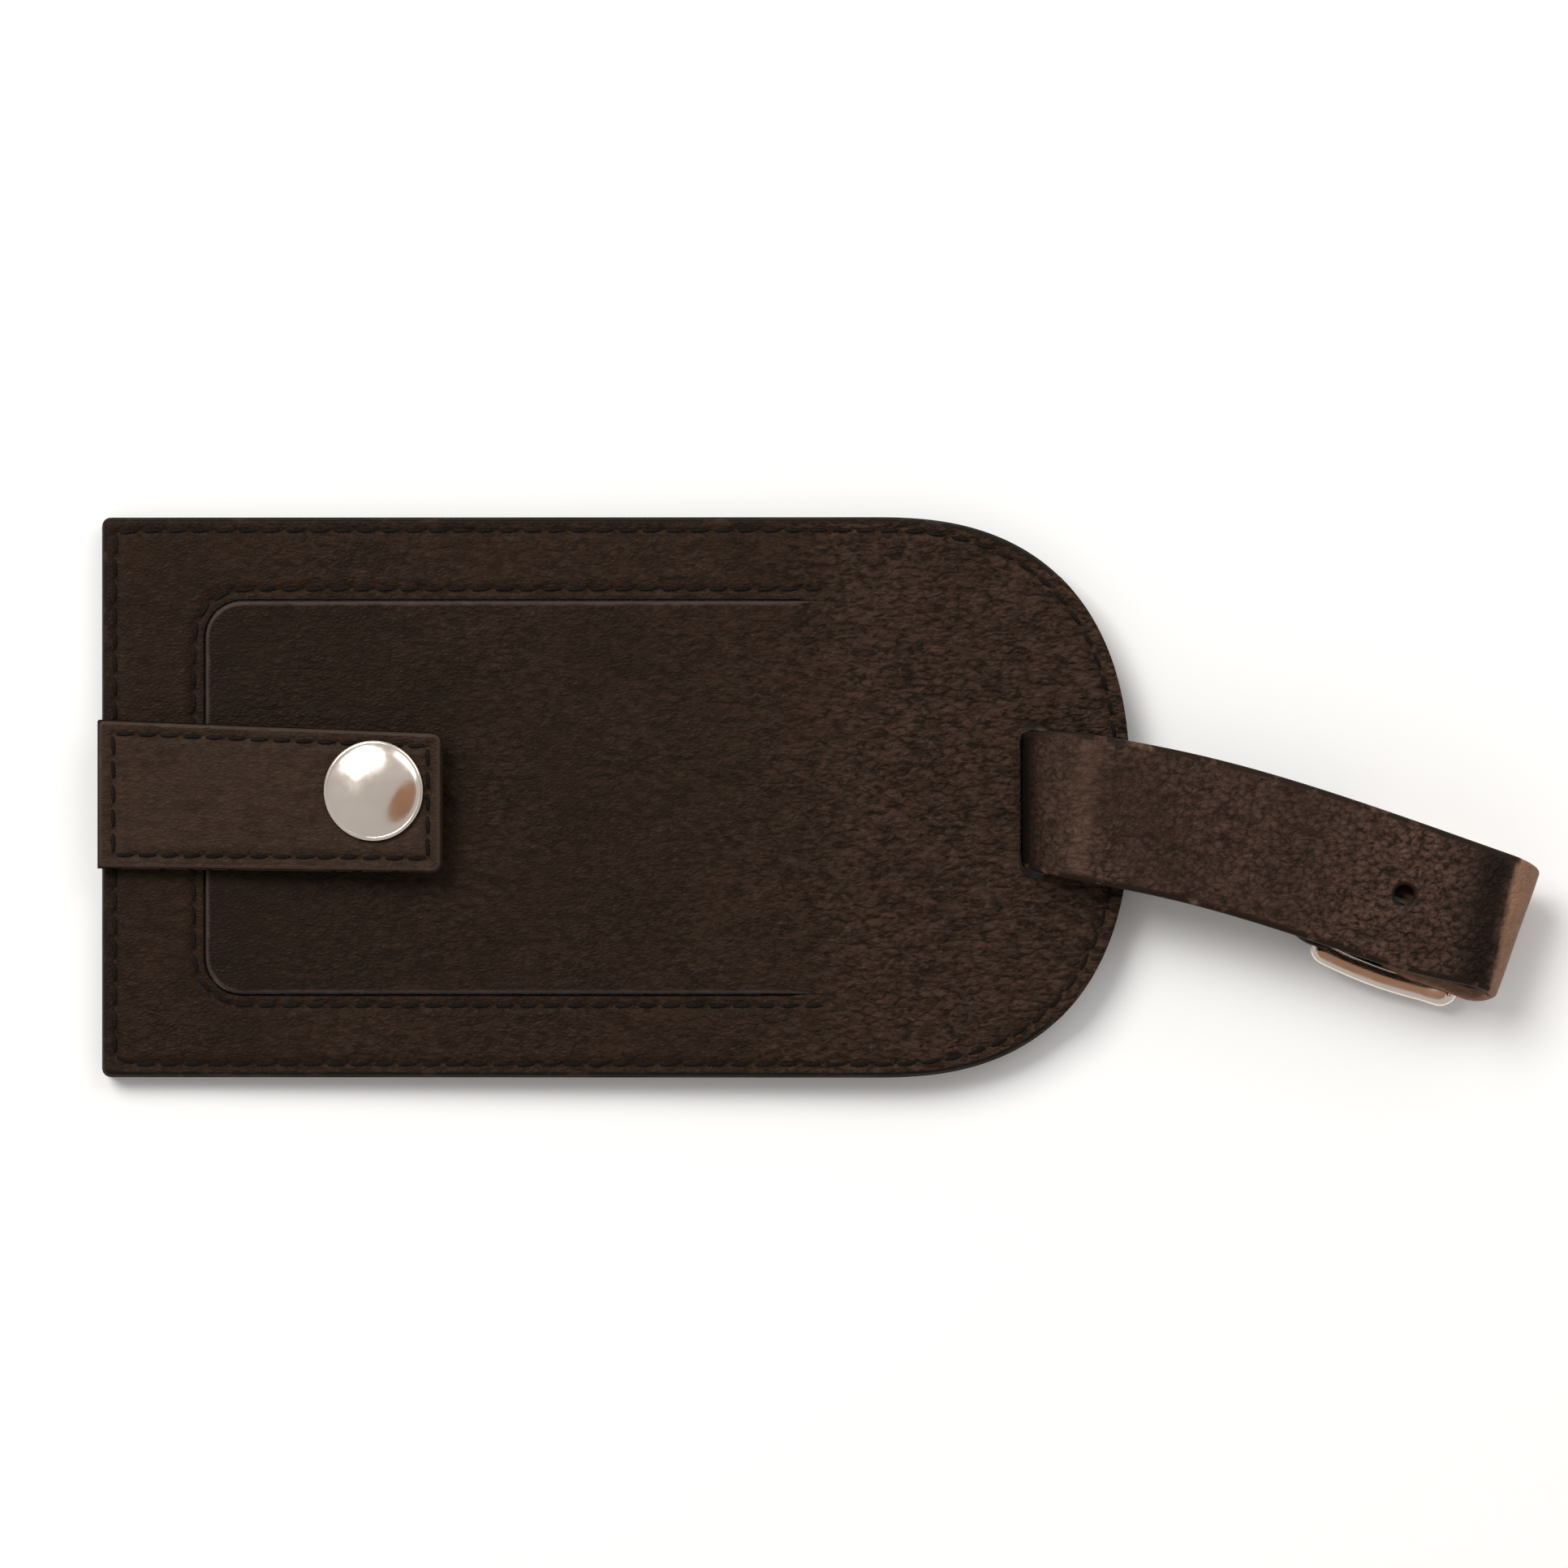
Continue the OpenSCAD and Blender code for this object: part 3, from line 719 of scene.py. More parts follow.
    rough = n.ramp(pebbles, 0.0, 1.0, 0.62, 0.46)
    rough = n.plus(rough, n.ramp(patches, 0.3, 0.7, -0.05, 0.06))
    rough = n.add("ShaderNodeMix", {0: paint, 2: rough, 3: 0.42}, data_type="FLOAT").outputs[0]
    height = n.times(pebbles, grain)
    height = n.plus(height, n.times(fine, 0.3))
    height = n.plus(height, n.times(folds, creases))
    height = n.plus(height, n.times(pores, 0.2))
    height = n.times(height, n.ramp(paint, 0.0, 1.0, 1.0, 0.25))
    n.set(Base_Color=colour, Roughness=rough, Normal=n.bump(height, 0.16),
          Specular_IOR_Level=0.11, Specular_Tint=(1.0, 0.77, 0.61, 1.0))
    return n.material


def suede(name, base, light):
    """The rough flesh side of leather."""
    n = Nodes(name)
    nap = n.noise(0.35, 5.0, 0.75)
    drift = n.noise(5.0, 4.0, 0.6)
    colour = n.blend(n.ramp(drift, 0.3, 0.7), base, light)
    colour = n.blend(n.ramp(nap, 0.45, 0.8, 0.0, 0.5), colour, darker(base, 0.55))
    edge = n.ramp(n.attribute("edge"), 0.1, 0.35, 1.0, 0.0)
    colour = n.blend(edge, colour, srgb(26, 22, 21))
    n.set(Base_Color=colour, Roughness=n.ramp(nap, 0.2, 0.8, 0.82, 0.95), Normal=n.bump(nap, 0.12),
          Sheen_Weight=0.25, Sheen_Roughness=0.5)
    return n.material


def metal(name, tint, low, high):
    """Polished nickel plate with fine wear."""
    n = Nodes(name)
    haze = n.noise(2.2, 4.0, 0.6)
    scratches = n.noise(0.5, 3.0, 0.6, stretch=(0.12, 1.0, 1.0))
    dull = n.ramp(n.noise(5.0, 3.0), 0.35, 0.7, 0.0, 0.35)
    n.set(Base_Color=n.blend(dull, tint, darker(tint, 0.82)), Roughness=n.ramp(haze, 0.3, 0.7, low, high),
          Normal=n.bump(scratches, 0.006, 0.5), Metallic=1.0)
    return n.material


def wave_bands(n, size_mm, direction, **inputs):
    inputs = {"Vector": n.place, "Scale": 1 / (size_mm * MM), **inputs}
    return n.add("ShaderNodeTexWave", inputs, bands_direction=direction).outputs["Fac"]


def thread_material():
    n = Nodes("waxed_thread")
    ply = wave_bands(n, 0.9, "DIAGONAL", Distortion=2.0, Detail=1.0)
    fuzz = n.noise(0.25, 3.0, 0.6)
    n.set(Base_Color=n.blend(n.ramp(n.noise(4.0), 0.3, 0.7), srgb(12, 9, 8), srgb(24, 18, 15)),
          Roughness=n.ramp(fuzz, 0.2, 0.8, 0.6, 0.85), Normal=n.bump(n.plus(ply, fuzz), 0.05),
          Specular_IOR_Level=0.12)
    return n.material


def cloth(name, base, light):
    n = Nodes(name)
    weave = n.math("MAXIMUM", *(wave_bands(n, 0.9, way, Distortion=0.4) for way in "XY"))
    n.set(Base_Color=n.blend(n.times(weave, n.noise(1.5)), base, light),
          Roughness=n.ramp(weave, 0.0, 1.0, 0.9, 0.75), Normal=n.bump(weave, 0.05))
    return n.material


def board_material():
    n = Nodes("grey_board")
    fibre = n.noise(0.5, 5.0, 0.7, stretch=(1.0, 1.0, 4.0))
    n.set(Base_Color=n.blend(fibre, srgb(120, 108, 92), srgb(168, 156, 138)),
          Roughness=n.ramp(fibre, 0, 1, 0.85, 0.95), Normal=n.bump(fibre, 0.04))
    return n.material


def card_material():
    """Address card with plain ruled lines and no lettering."""
    n = Nodes("ruled_card")
    lo, hi = mm_box("address_card")
    rule_gap = 8.0 * MM
    spot = n.add("ShaderNodeSeparateXYZ", {0: n.place}).outputs
    phase = n.math("FRACT", n.math("DIVIDE", n.plus(spot["Y"], rule_gap * 10.5), rule_gap))
    rule = n.math("LESS_THAN", phase, 0.045)
    past_left = n.math("GREATER_THAN", spot["X"], (lo[0] + 6) * MM)
    before_right = n.math("LESS_THAN", spot["X"], (hi[0] - 6) * MM)
    inner = n.math("LESS_THAN", n.math("ABSOLUTE", spot["Y"]), (hi[1] - 5) * MM)
    rule = n.times(n.times(rule, n.times(past_left, before_right)), inner)
    fibre = n.noise(0.4, 4.0, 0.7)
    paper = n.blend(fibre, srgb(238, 234, 224), srgb(250, 248, 242))
    n.set(Base_Color=n.blend(rule, paper, srgb(120, 122, 128)), Roughness=n.ramp(fibre, 0, 1, 0.75, 0.9),
          Normal=n.bump(fibre, 0.02))
    return n.material


def film_material():
    n = Nodes("clear_film")
    ripple = n.noise(14.0, 2.0)
    n.set(Base_Color=n.blend(n.noise(3.0), (0.9, 0.93, 0.95, 1), (0.97, 0.98, 1.0, 1)),
          Roughness=n.ramp(n.noise(2.0), 0.2, 0.8, 0.08, 0.18), Normal=n.bump(ripple, 0.2, 0.5),
          Alpha=0.25, IOR=1.45)
    return n.material


# ---------- camera, light and floor ----------

VIEW_WIDTH = 0.1874
CAMERA_HEIGHT = 0.9
CAMERA_SHIFT = (-0.0040, 0.0016)


def camera():
    data = bpy.data.cameras.new("camera")
    data.lens = data.sensor_width * CAMERA_HEIGHT / VIEW_WIDTH
    data.clip_start, data.clip_end = 0.05, 20
    eye = link("camera", data)
    lo, hi = cad_bounds
    eye.location = ((lo.x + hi.x) / 2 + CAMERA_SHIFT[0], (lo.y + hi.y) / 2 + CAMERA_SHIFT[1],
                    CAMERA_HEIGHT + hi.z * 0.4)
    bpy.context.scene.camera = eye


def softbox(name, place, size, energy, colour=(1, 1, 1)):
    """A square area light aimed at the origin."""
    data = bpy.data.lights.new(name, "AREA")
    data.shape = "SQUARE"
    data.size = size
    data.energy = energy
    data.color = colour
    lamp = link(name, data)
    lamp.location = place
    lamp.rotation_euler = (-Vector(place)).to_track_quat("-Z", "Y").to_euler()


def staged_face(name, corners, material_name, colour, roughness):
    """A flat face that belongs to the studio."""
    mesh = bpy.data.meshes.new(name)
    mesh.from_pydata(corners, [], [tuple(range(len(corners)))])
    n = Nodes(material_name)
    n.set(Base_Color=colour, Roughness=roughness)
    mesh.materials.append(n.material)
    link(name, mesh)


def warm_card():
    """An oval tan card hung high beside the camera, well outside the views, that polished metal reflects."""
    middle = Vector((0.36, -0.25, 1.43))
    across = Vector((0.25, 0.36, 0.0)).normalized() * 0.58
    up = middle.cross(across).normalized() * 0.34
    rim = [tuple(middle + across * math.cos(a) + up * math.sin(a)) for a in turns(32)]
    staged_face("warm_card", rim, "tan_card", (0.3, 0.17, 0.1, 1), 0.9)


def pale_floor(w=4.0):
    z = cad_bounds[0].z
    corners = [(-w, -w, z), (w, -w, z), (w, w, z), (-w, w, z)]
    staged_face("floor", corners, "pale_floor", (0.92, 0.92, 0.92, 1), 0.85)


def studio():
    scene = bpy.context.scene
    scene.view_settings.view_transform = "Standard"
    world = bpy.data.worlds.new("studio")
    world.use_nodes = True
    background = world.node_tree.nodes["Background"].inputs
    background["Color"].default_value = (1.0, 0.99, 0.98, 1)
    background["Strength"].default_value = 0.5
    scene.world = world
    softbox("key", (-0.84, 1.0, 1.5), 1.0, 32.0, (1.0, 0.985, 0.96))
    softbox("fill", (0.9, 1.1, 1.4), 1.2, 7.0)
    warm_card()
    pale_floor()


# ---------- body ----------

def coarse_grain(points, d):
    """How pebbled the body's grain is: coarse to the right, fine in the middle and at the tab."""
    x, y = points[:, 0], points[:, 1]
    g = 0.35 + 0.65 * smooth((x - 72) / 26) + 0.12 * waves(x, y, 22, 3)
    g -= 0.2 * smooth((26 - x) / 14)
    return np.clip(g, 0.12, 1.0)


SEAM_LINE = closed_line(tag_outline(SEAM_IN))
SEAM_HOLES = closed_line(resample(SEAM_LINE[:-1], PITCH))
WINDOW_LINE = flap_outline(WINDOW_SEAM, WINDOW_SEAM_END)
WINDOW_HOLES = resample(WINDOW_LINE, PITCH, closed=False)


def seam_rows(line):
    """Rows of mesh points along a seam, so that its channel is sharp."""
    return [moved_left(resample(line, 0.4, False), d, closed=False) for d in (-0.42, -0.2, 0, 0.2, 0.42)]


def stitched(height, seams):
    """A height with a shallow channel along each seam and a dimple at each needle hole."""
    def rule(p, d):
        z = height(p, d)
        for line, holes in seams:
            z = z - 0.16 * gauss(distance(p, line), 0.5) - 0.3 * gauss(nearest(p, holes), 0.3)
            z = z + 0.07 * gauss(distance(p, line) - 1.15, 0.55)
        return z
    return rule


def face_height(p, d):
    """The face's top, which rises to the flap's height where the flap grows out of it."""
    x, y = p[:, 0], p[:, 1]
    lift = (FLAP_TOP - FACE_TOP) * smooth((x - FLAP_END + 4) / 8) * smooth((FLAP_HALF + 5 - np.abs(y)) / 8)
    lift *= smooth((FLAP_END + 16 - x) / 16)
    puff = 0.1 * smooth(d / 5) + 0.05 * waves(x, y, 16, 1)
    return FACE_TOP - 0.1 + puff + lift


def body_pieces(skin):
    def at_junction(q):
        return (np.abs(q[:, 0] - FLAP_END) < 0.2) & (np.abs(q[:, 1]) < FLAP_HALF + KERF + 0.2)

    edge_seam = (SEAM_LINE, SEAM_HOLES)
    face = plate("face_leather", tag_outline(), [flap_outline(KERF, grow_end=0.01), slot_outline()],
                 stitched(face_height, [edge_seam, (WINDOW_LINE, WINDOW_HOLES)]), level(MEET), skin,
                 tag_place, edge=0.95, fall=1.0, rows=seam_rows(SEAM_LINE) + seam_rows(WINDOW_LINE),
                 joined=at_junction, soften=flap_fade, attributes={"grain": coarse_grain})
    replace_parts(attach(face, "tag"), "face_panel")
    back = plate("back_leather", tag_outline(), [slot_outline()],
                 stitched(level(0.0), [edge_seam]), level(0.14 - MEET), skin, from_below(tag_place),
                 rows=seam_rows(SEAM_LINE), attributes={"grain": coarse_grain})
    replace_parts(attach(back, "tag"), "back_panel")


def body_stitches(thread):
    def face_thread(distance_to_edge):
        return lambda c: face_height(c, np.full(len(c), distance_to_edge)) - 0.12

    front = stitches("front_stitches", SEAM_HOLES, thread, tag_place, face_thread(SEAM_IN))
    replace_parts(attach(front, "tag"), "front_seam_thread")
    around = stitches("window_stitches", WINDOW_HOLES, thread, tag_place, face_thread(5.0))
    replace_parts(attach(around, "tag"), "window_thread")
    rear = stitches("back_stitches", SEAM_HOLES, thread, tag_place, lambda c: np.full(len(c), 0.3), -1)
    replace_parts(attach(rear, "tag"), "back_seam_thread")


# ---------- flap and tab ----------

def flap_height(p, d):
    x, y = p[:, 0], p[:, 1]
    sag = 0.06 * waves(x, y, 18, 2) + 0.05 * waves(x, y, 7, 4)
    meet_face = face_height(p, d) - FLAP_TOP
    return FLAP_TOP + mix(sag, meet_face, smooth((x - FLAP_END + 9) / 8.5))


def flap_shade(points, d):
    """The flap is a little darker than the face, most at its left end, and matches it where they join."""
    x = points[:, 0]
    return -(0.22 + 0.24 * smooth((48 - x) / 28)) * smooth((FLAP_END - 3 - x) / 34)


def flap_pieces(skin, flesh):
    def at_junction(q):
        return np.abs(q[:, 0] - FLAP_END) < 0.05

    def lining_under(p, d):
        return FLAP_UNDER - 0.19 + 0.02 * waves(p[:, 0], p[:, 1], 5, 6)

    start = metres(tag_place, FLAP_END - 0.4, 0, FLAP_UNDER)
    end = metres(tag_place, FLAP_END - 8.5, 0, FLAP_UNDER)
    cover = plate("flap_cover", flap_outline(), [], flap_height, level(FLAP_UNDER), skin, tag_place,
                  edge=0.45, fall=0.4, step=0.7, joined=at_junction, soften=flap_fade,
                  attributes={"grain": coarse_grain, "tan": flap_shade})
    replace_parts(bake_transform(cover), "flap_leather")
    lining = plate("flap_suede", flap_outline(-0.4), [circle(STUD_X, STUD_Y, STUD_HOLE_R)],
                   level(FLAP_UNDER - 0.01), lining_under, flesh, tag_place, edge=0.08, fall=0.06,
                   step=2.5, step_under=1.2, joined=at_junction)
    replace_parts(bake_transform(lining), "flap_lining")


def tab_outline(inset=0.0):
    """Slightly wider at the root than at the free end."""
    x0, x1, r = TAB_ROOT + inset, TAB_LENGTH - inset, 1.1
    root_low, root_high, end_low, end_high = (TAB_Y + v for v in (-8.8, 9.0, -9.2, 7.4))
    return np.vstack([[[x0, root_low + inset]],
                      arc(x1 - r, end_low + inset + r, r, 270, 360, 6),
                      arc(x1 - r, end_high - inset - r, r, 0, 90, 6),
                      [[x0, root_high - inset]]])


def tab_seam():
    """The seam round the tab and its needle holes, one at each corner, both as closed lines."""
    q = tab_outline(TAB_SEAM)
    far, low, high = q[:, 0].max(), q[1:-1, 1].min(), q[1:-1, 1].max()
    corners = np.array([[TAB_SEAM_ROOT, q[0, 1]], [far, low], [far, high], [TAB_SEAM_ROOT, q[-1, 1]]])
    line = closed_line(corners)
    holes = [resample(line[k:k + 2], PITCH * 0.98, closed=False)[:-1] for k in range(4)]
    return line, closed_line(np.vstack(holes))


def tab_height(p, d):
    """The tab's top, pressed down a little round the cap."""
    x, y = p[:, 0], p[:, 1]
    around_cap = np.hypot(x - STUD_ON_TAB, y - STUD_Y)
    z = TAB_T - 0.06 + 0.1 * smooth(d / 3.5) + 0.03 * waves(x, y - TAB_Y, 9, 5)
    return z - 0.14 * gauss(np.maximum(around_cap - CAP_R, 0), 0.9)


def tab_lining_height(p, d):
    return 0.02 * waves(p[:, 0], p[:, 1], 7, 8)


def tab_pieces(skin, thread):
    start = metres(tab_place, TAB_BEND[0], 0, TAB_T)
    end = metres(tab_place, TAB_BEND[1], 0, TAB_T)
    underneath = from_below(tab_place)
    line, holes = tab_seam()
    shared = {"rows": seam_rows(line), "attributes": {"grain": level(0.22)}}
    upper = plate("tab_strip", tab_outline(), [], stitched(tab_height, [(line, holes)]),
                  level(TAB_LINING_T + 0.02), skin, tab_place, edge=0.6, fall=0.75, step=0.55, **shared)
    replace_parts(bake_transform(upper), "tab_leather", "tab_root")
    lower = plate("tab_underside", tab_outline(), [circle(STUD_ON_TAB, STUD_Y, POST_HOLE_R)],
                  stitched(tab_lining_height, [(line, holes)]), level(0.02 - TAB_LINING_T), skin,
                  underneath, edge=0.45, fall=0.45, step=0.6, **shared)
    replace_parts(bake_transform(lower), "tab_lining")
    top = stitches("tab_stitches", holes, thread, tab_place,
                   lambda c: tab_height(c, np.full(len(c), TAB_SEAM)) - 0.1)
    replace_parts(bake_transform(top), "tab_thread")
    below = stitches("tab_back_stitches", holes, thread, underneath,
                     lambda c: tab_lining_height(c, None) - 0.1)
    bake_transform(below)


def cap_piece(nickel):
    """Domed cap with a rolled rim, on its post."""
    rim_r, rim_h = 0.42, 0.32
    flat_r = CAP_R - rim_r
    dome = [(flat_r * (1 - u), 0.55 + (CAP_H - 0.55) * math.sin(math.pi / 2 * u ** 0.8))
            for u in np.linspace(0, 0.985, 26)]
    rim = [(flat_r + rim_r * math.cos(a), rim_h + 0.3 * math.sin(a)) for a in np.linspace(-1.2, 1.35, 10)]
    post = [(1.4, -TAB_T), (1.4, 0.02), (CAP_R - 1.2, 0.02)]
    rings = lathe(post + rim + [(CAP_R - 0.5, 0.56)] + dome, (STUD_ON_TAB, STUD_Y, TAB_T), 96)
    cap = make_lofts("stud_cap", [rings], nickel, tab_place)
    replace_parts(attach(cap, "tab"), "snap_cap")


# ---------- strap ----------

def sweep(s0, s1, z, n):
    """Stations from s0 to s1. z is one height, or a rule for the share travelled."""
    shares = np.linspace(0, 1, n)
    return np.array([(mix(s0, s1, u), z(u) if callable(z) else z) for u in shares])


def strap_route():
    """The strap's middle, as stations (s, z): from its tip round the far fold, back over the slot, down
    through it and on to the buckle."""
    fold_r = (LOOP_TOP - OVER_FRONT_Z) / 2
    over_r, under_r, pass_s = 6.0, 2.6, -1.0
    root_z = LOOP_TOP - 0.4
    top_end = 19.5
    low_end, chape_start = CHAPE_S
    lower = sweep(TIP_S, HEEL_S, TIP_Z, 6)[:-1]
    rise = sweep(HEEL_S, FOLD_S, lambda u: mix(TIP_Z, OVER_FRONT_Z, smooth(u * 1.08 - 0.08)), 14)[:-1]
    fold = arc(FOLD_S, LOOP_TOP - fold_r, fold_r, -90, 90, 24)
    top = sweep(FOLD_S, top_end, lambda u: LOOP_TOP + CROWN * math.sin(math.pi * u), 20)[1:]
    hump = [(s, mix(root_z, LOOP_TOP, smooth((s - 6) / 12))) for s in (17, 14.5, 12, 9.5, 7)]
    over = arc(pass_s + over_r, root_z - over_r, over_r, 90, 180, 18)
    down = arc(pass_s + under_r, LEG_LOW + under_r, under_r, 180, 270, 12)
    leave = sweep(5, low_end, LEG_LOW, 6)
    chape = sweep(low_end, chape_start, lambda u: mix(LEG_LOW, CHAPE_Z, smooth(u)), 10)[1:]
    reach = sweep(chape_start, HEEL_S, CHAPE_Z, 7)[1:-1]
    wrap = arc(HEEL_S, HEEL_Z, HEEL_Z - CHAPE_Z, -90, 90, 16)
    back = sweep(HEEL_S, TURN_S, lambda u: mix(2 * HEEL_Z - CHAPE_Z, TURN_Z, smooth(u * 1.6)), 8)[1:]
    return np.vstack([lower, rise, fold, top, hump, over, down, leave, chape, reach, wrap, back])


route = resample(strap_route(), 0.25, closed=False)
for _ in range(3):
    route[1:-1] = (route[:-2] + 2 * route[1:-1] + route[2:]) / 4
route_x = along(route)
route_t = np.gradient(route, axis=0)
route_t /= np.linalg.norm(route_t, axis=1)[:, None]

# Distances along the strap, from its tip
STRAP_LENGTH = route_x[-1]
FOLD_X = route_x[np.argmax(route[:, 0])]
SLOT_PASS_X = route_x[np.argmin(route[:, 0])]
HEEL_X = route_x[len(route) - 1 - np.argmax(route[::-1, 0][:160])]


def at_station(s, first, last):
    """Distance along the strap at which it passes s, between two other distances."""
    span = (route_x >= first) & (route_x <= last)
    return route_x[span][np.argmin(np.abs(route[span, 0] - s))]


HOLE_X = at_station(SPARE_HOLE_S, FOLD_X, SLOT_PASS_X)
PRONG_SLOT_X = at_station(PRONG_SLOT_S, 0, FOLD_X)


def strap_side(x):
    """Sideways offset of the strap's middle at distance x."""
    s = np.interp(x, route_x, route[:, 0])
    low = OFFSET_LOW * smooth((s - KEEPER_S - 1.5) / 5.5)
    to_top = smooth((x - FOLD_X + 5) / 10)
    at_slot = SLOT_SHIFT * gauss(x - SLOT_PASS_X, 10)
    return np.where(x < SLOT_PASS_X, low * (1 - to_top), low) + at_slot


def strap_half(x):
    """Half of the strap's width: full on top, drawn in by the slot and narrow where it passes the buckle."""
    s = np.interp(x, route_x, route[:, 0])
    waist = mix(STRAP_W, STRAP_WAIST, smooth((s - SWING_S - 4.5) / 7)) / 2
    full = mix(STRAP_WAIST, STRAP_W, smooth((x - FOLD_X + 7) / 7)) / 2
    tip = np.clip(1 - np.clip(1 - x / 6.0, 0, 1) ** 2.2, 0.02, 1) ** 0.5
    pinch = SLOT_PINCH * gauss(x - SLOT_PASS_X, 5)
    return np.where(x < SLOT_PASS_X, full * tip, waist) - pinch


def strap_thick(x):
    return mix(STRAP_T, CHAPE_T, smooth((x - SLOT_PASS_X - 16) / 8))


def strap_place(p):
    """Flat points of the strap (x along, y across, z above the middle on the grain side) on its route."""
    x = p[:, 0]
    s, z = np.interp(x, route_x, route[:, 0]), np.interp(x, route_x, route[:, 1])
    ts, tz = np.interp(x, route_x, route_t[:, 0]), np.interp(x, route_x, route_t[:, 1])
    return strap_point(s + tz * p[:, 2], p[:, 1] + strap_side(x), z - ts * p[:, 2])


def fold_pull(x):
    """How far the sharp fold draws in the strap's near edge, more along the top leg than underneath."""
    d = x - FOLD_X
    return FOLD_PULL * gauss(d, np.where(d > 0, 9.5, 3.0))


def strap_outline():
    x = np.r_[np.linspace(0.02, 6, 16), np.linspace(7, STRAP_LENGTH, 140)]
    half = strap_half(x)
    near = np.column_stack([x, fold_pull(x) - half])
    return np.vstack([near, np.column_stack([x[::-1], half[::-1]])])


def strap_grain(points, d):
    """Coarsest on top and round the spare hole."""
    x = points[:, 0]
    top = smooth((x - FOLD_X) / 6) * smooth((SLOT_PASS_X - x) / 10)
    hole = gauss(x - HOLE_X, 9)
    return np.clip(0.3 + 0.12 * top + 0.5 * hole + 0.15 * waves(x, points[:, 1], 18, 9), 0.15, 1)


def strap_tan_shade_and_highlight(points, d):
    """Where the strap shows tan, painted shade and painted highlights: tan on the undyed rim of its flesh
    side, and tan on the fold, partly cracked finish and partly a painted highlight where the fold faces the
    light, with a strip of painted shade just before it. The bend over the slot gets only a painted
    highlight, and what dips into the slot gets painted shade. The flesh side gets painted shade round the
    prong's slot, under the spare hole."""
    x, y = points[:, 0], points[:, 1]
    # The fold: tan, partly cracked finish and partly a painted highlight; shade is a strip of painted shade
    # before it
    reach = FOLD_X + mix(3.4, 5.3, smooth((y + 9) / 18)) + 0.12 * waves(x, y, 3, 13)
    fold = smooth((x - FOLD_X + 5) / 2) * smooth((reach - x) / 1.8)
    shade = smooth((x - reach + 1) / 1.5) * smooth((reach + 6.5 - x) / 5.5)
    past_slot = SLOT_PASS_X - x
    # bend is a painted highlight over the slot, and dip is painted shade where the strap goes down into it
    bend = 0.14 * gauss(past_slot - 10.0, 1.4)
    dip = smooth((5.8 - past_slot) / 3.6) * smooth((past_slot + 6) / 6)
    raw_edge = smooth((1.7 - d) / 0.6) * smooth((x - FOLD_X + 17) / 3) * smooth((FOLD_X + 1 - x) / 2)
    # The flesh side: the undyed tan rim, and painted shade round the prong's slot under the spare hole
    flesh = raw_edge - 0.85 * gauss(x - PRONG_SLOT_X, 6) * (1 - raw_edge)
    return np.where(points[:, 2] < -0.1, flesh, fold - 0.9 * shade + bend - dip)


def grain_side(p, d):
    """The strap's outer surface, with fine creases where it bends over the slot."""
    x, y = p[:, 0], p[:, 1]
    bulge = 0.07 * smooth(d / 3) + 0.04 * waves(x, y, 12, 10)
    creases = 0.05 * waves(x, y * 0.25, 1.6, 11) * gauss(x - SLOT_PASS_X + 7, 7)
    return strap_thick(x) / 2 - 0.05 + bulge + creases


def flesh_side(p, d):
    return -strap_thick(p[:, 0]) / 2 + 0.02 * waves(p[:, 0], p[:, 1], 6, 12)


def strap_piece(skin):
    half_slot = PRONG_SLOT_L / 2
    prong_slot = oblong(PRONG_SLOT_X - half_slot, PRONG_SLOT_X + half_slot, 0, PRONG_SLOT_W / 2)
    heel_slot = oblong(HEEL_X - 1.6, HEEL_X + 1.6, 0, 1.35)
    strap = plate("strap_band", strap_outline(), [circle(HOLE_X, 0, SPARE_HOLE_R), heel_slot, prong_slot],
                  grain_side, flesh_side, skin, strap_place, edge=0.5, fall=0.42, step=0.6, step_under=0.6,
                  attributes={"grain": strap_grain, "tan": strap_tan_shade_and_highlight})
    near, far = (strap_spot(s, 0, SWING_Z) * MM for s in SWING_BEND)
    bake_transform(strap)
    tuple(near)
    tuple(far)
    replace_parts(strap, "strap_root", "strap_long", "strap_chape")


def chape_seam(thread):
    """Stitches across the turned end of the strap."""
    x = STRAP_LENGTH - 1.2
    holes = resample(np.array([[x, -6.4], [x, 6.4]]), 2.6, closed=False)
    sewn = stitches("chape_stitches", holes, thread, strap_place,
                    lambda c: np.full(len(c), CHAPE_T / 2 + 0.02))
    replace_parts(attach(sewn, "strap"), "chape_thread")


# ---------- buckle and keeper ----------

def buckle_place(p):
    """x from the heel bar to the front bar, y along the bars, z up from the buckle's plane."""
    x = p[:, 0] * math.cos(BUCKLE_TILT) + p[:, 2] * math.sin(BUCKLE_TILT)
    z = p[:, 2] * math.cos(BUCKLE_TILT) - p[:, 0] * math.sin(BUCKLE_TILT)
    return on_strap(np.stack([x, p[:, 1], z], 1), PRONG_SLOT_S, strap_spot(HEEL_S, OFFSET_LOW, HEEL_Z))


def mirrored(line):
    """The same points on the other side of y = 0, in the opposite order."""
    return [(x, -y) for x, y in line[::-1]]


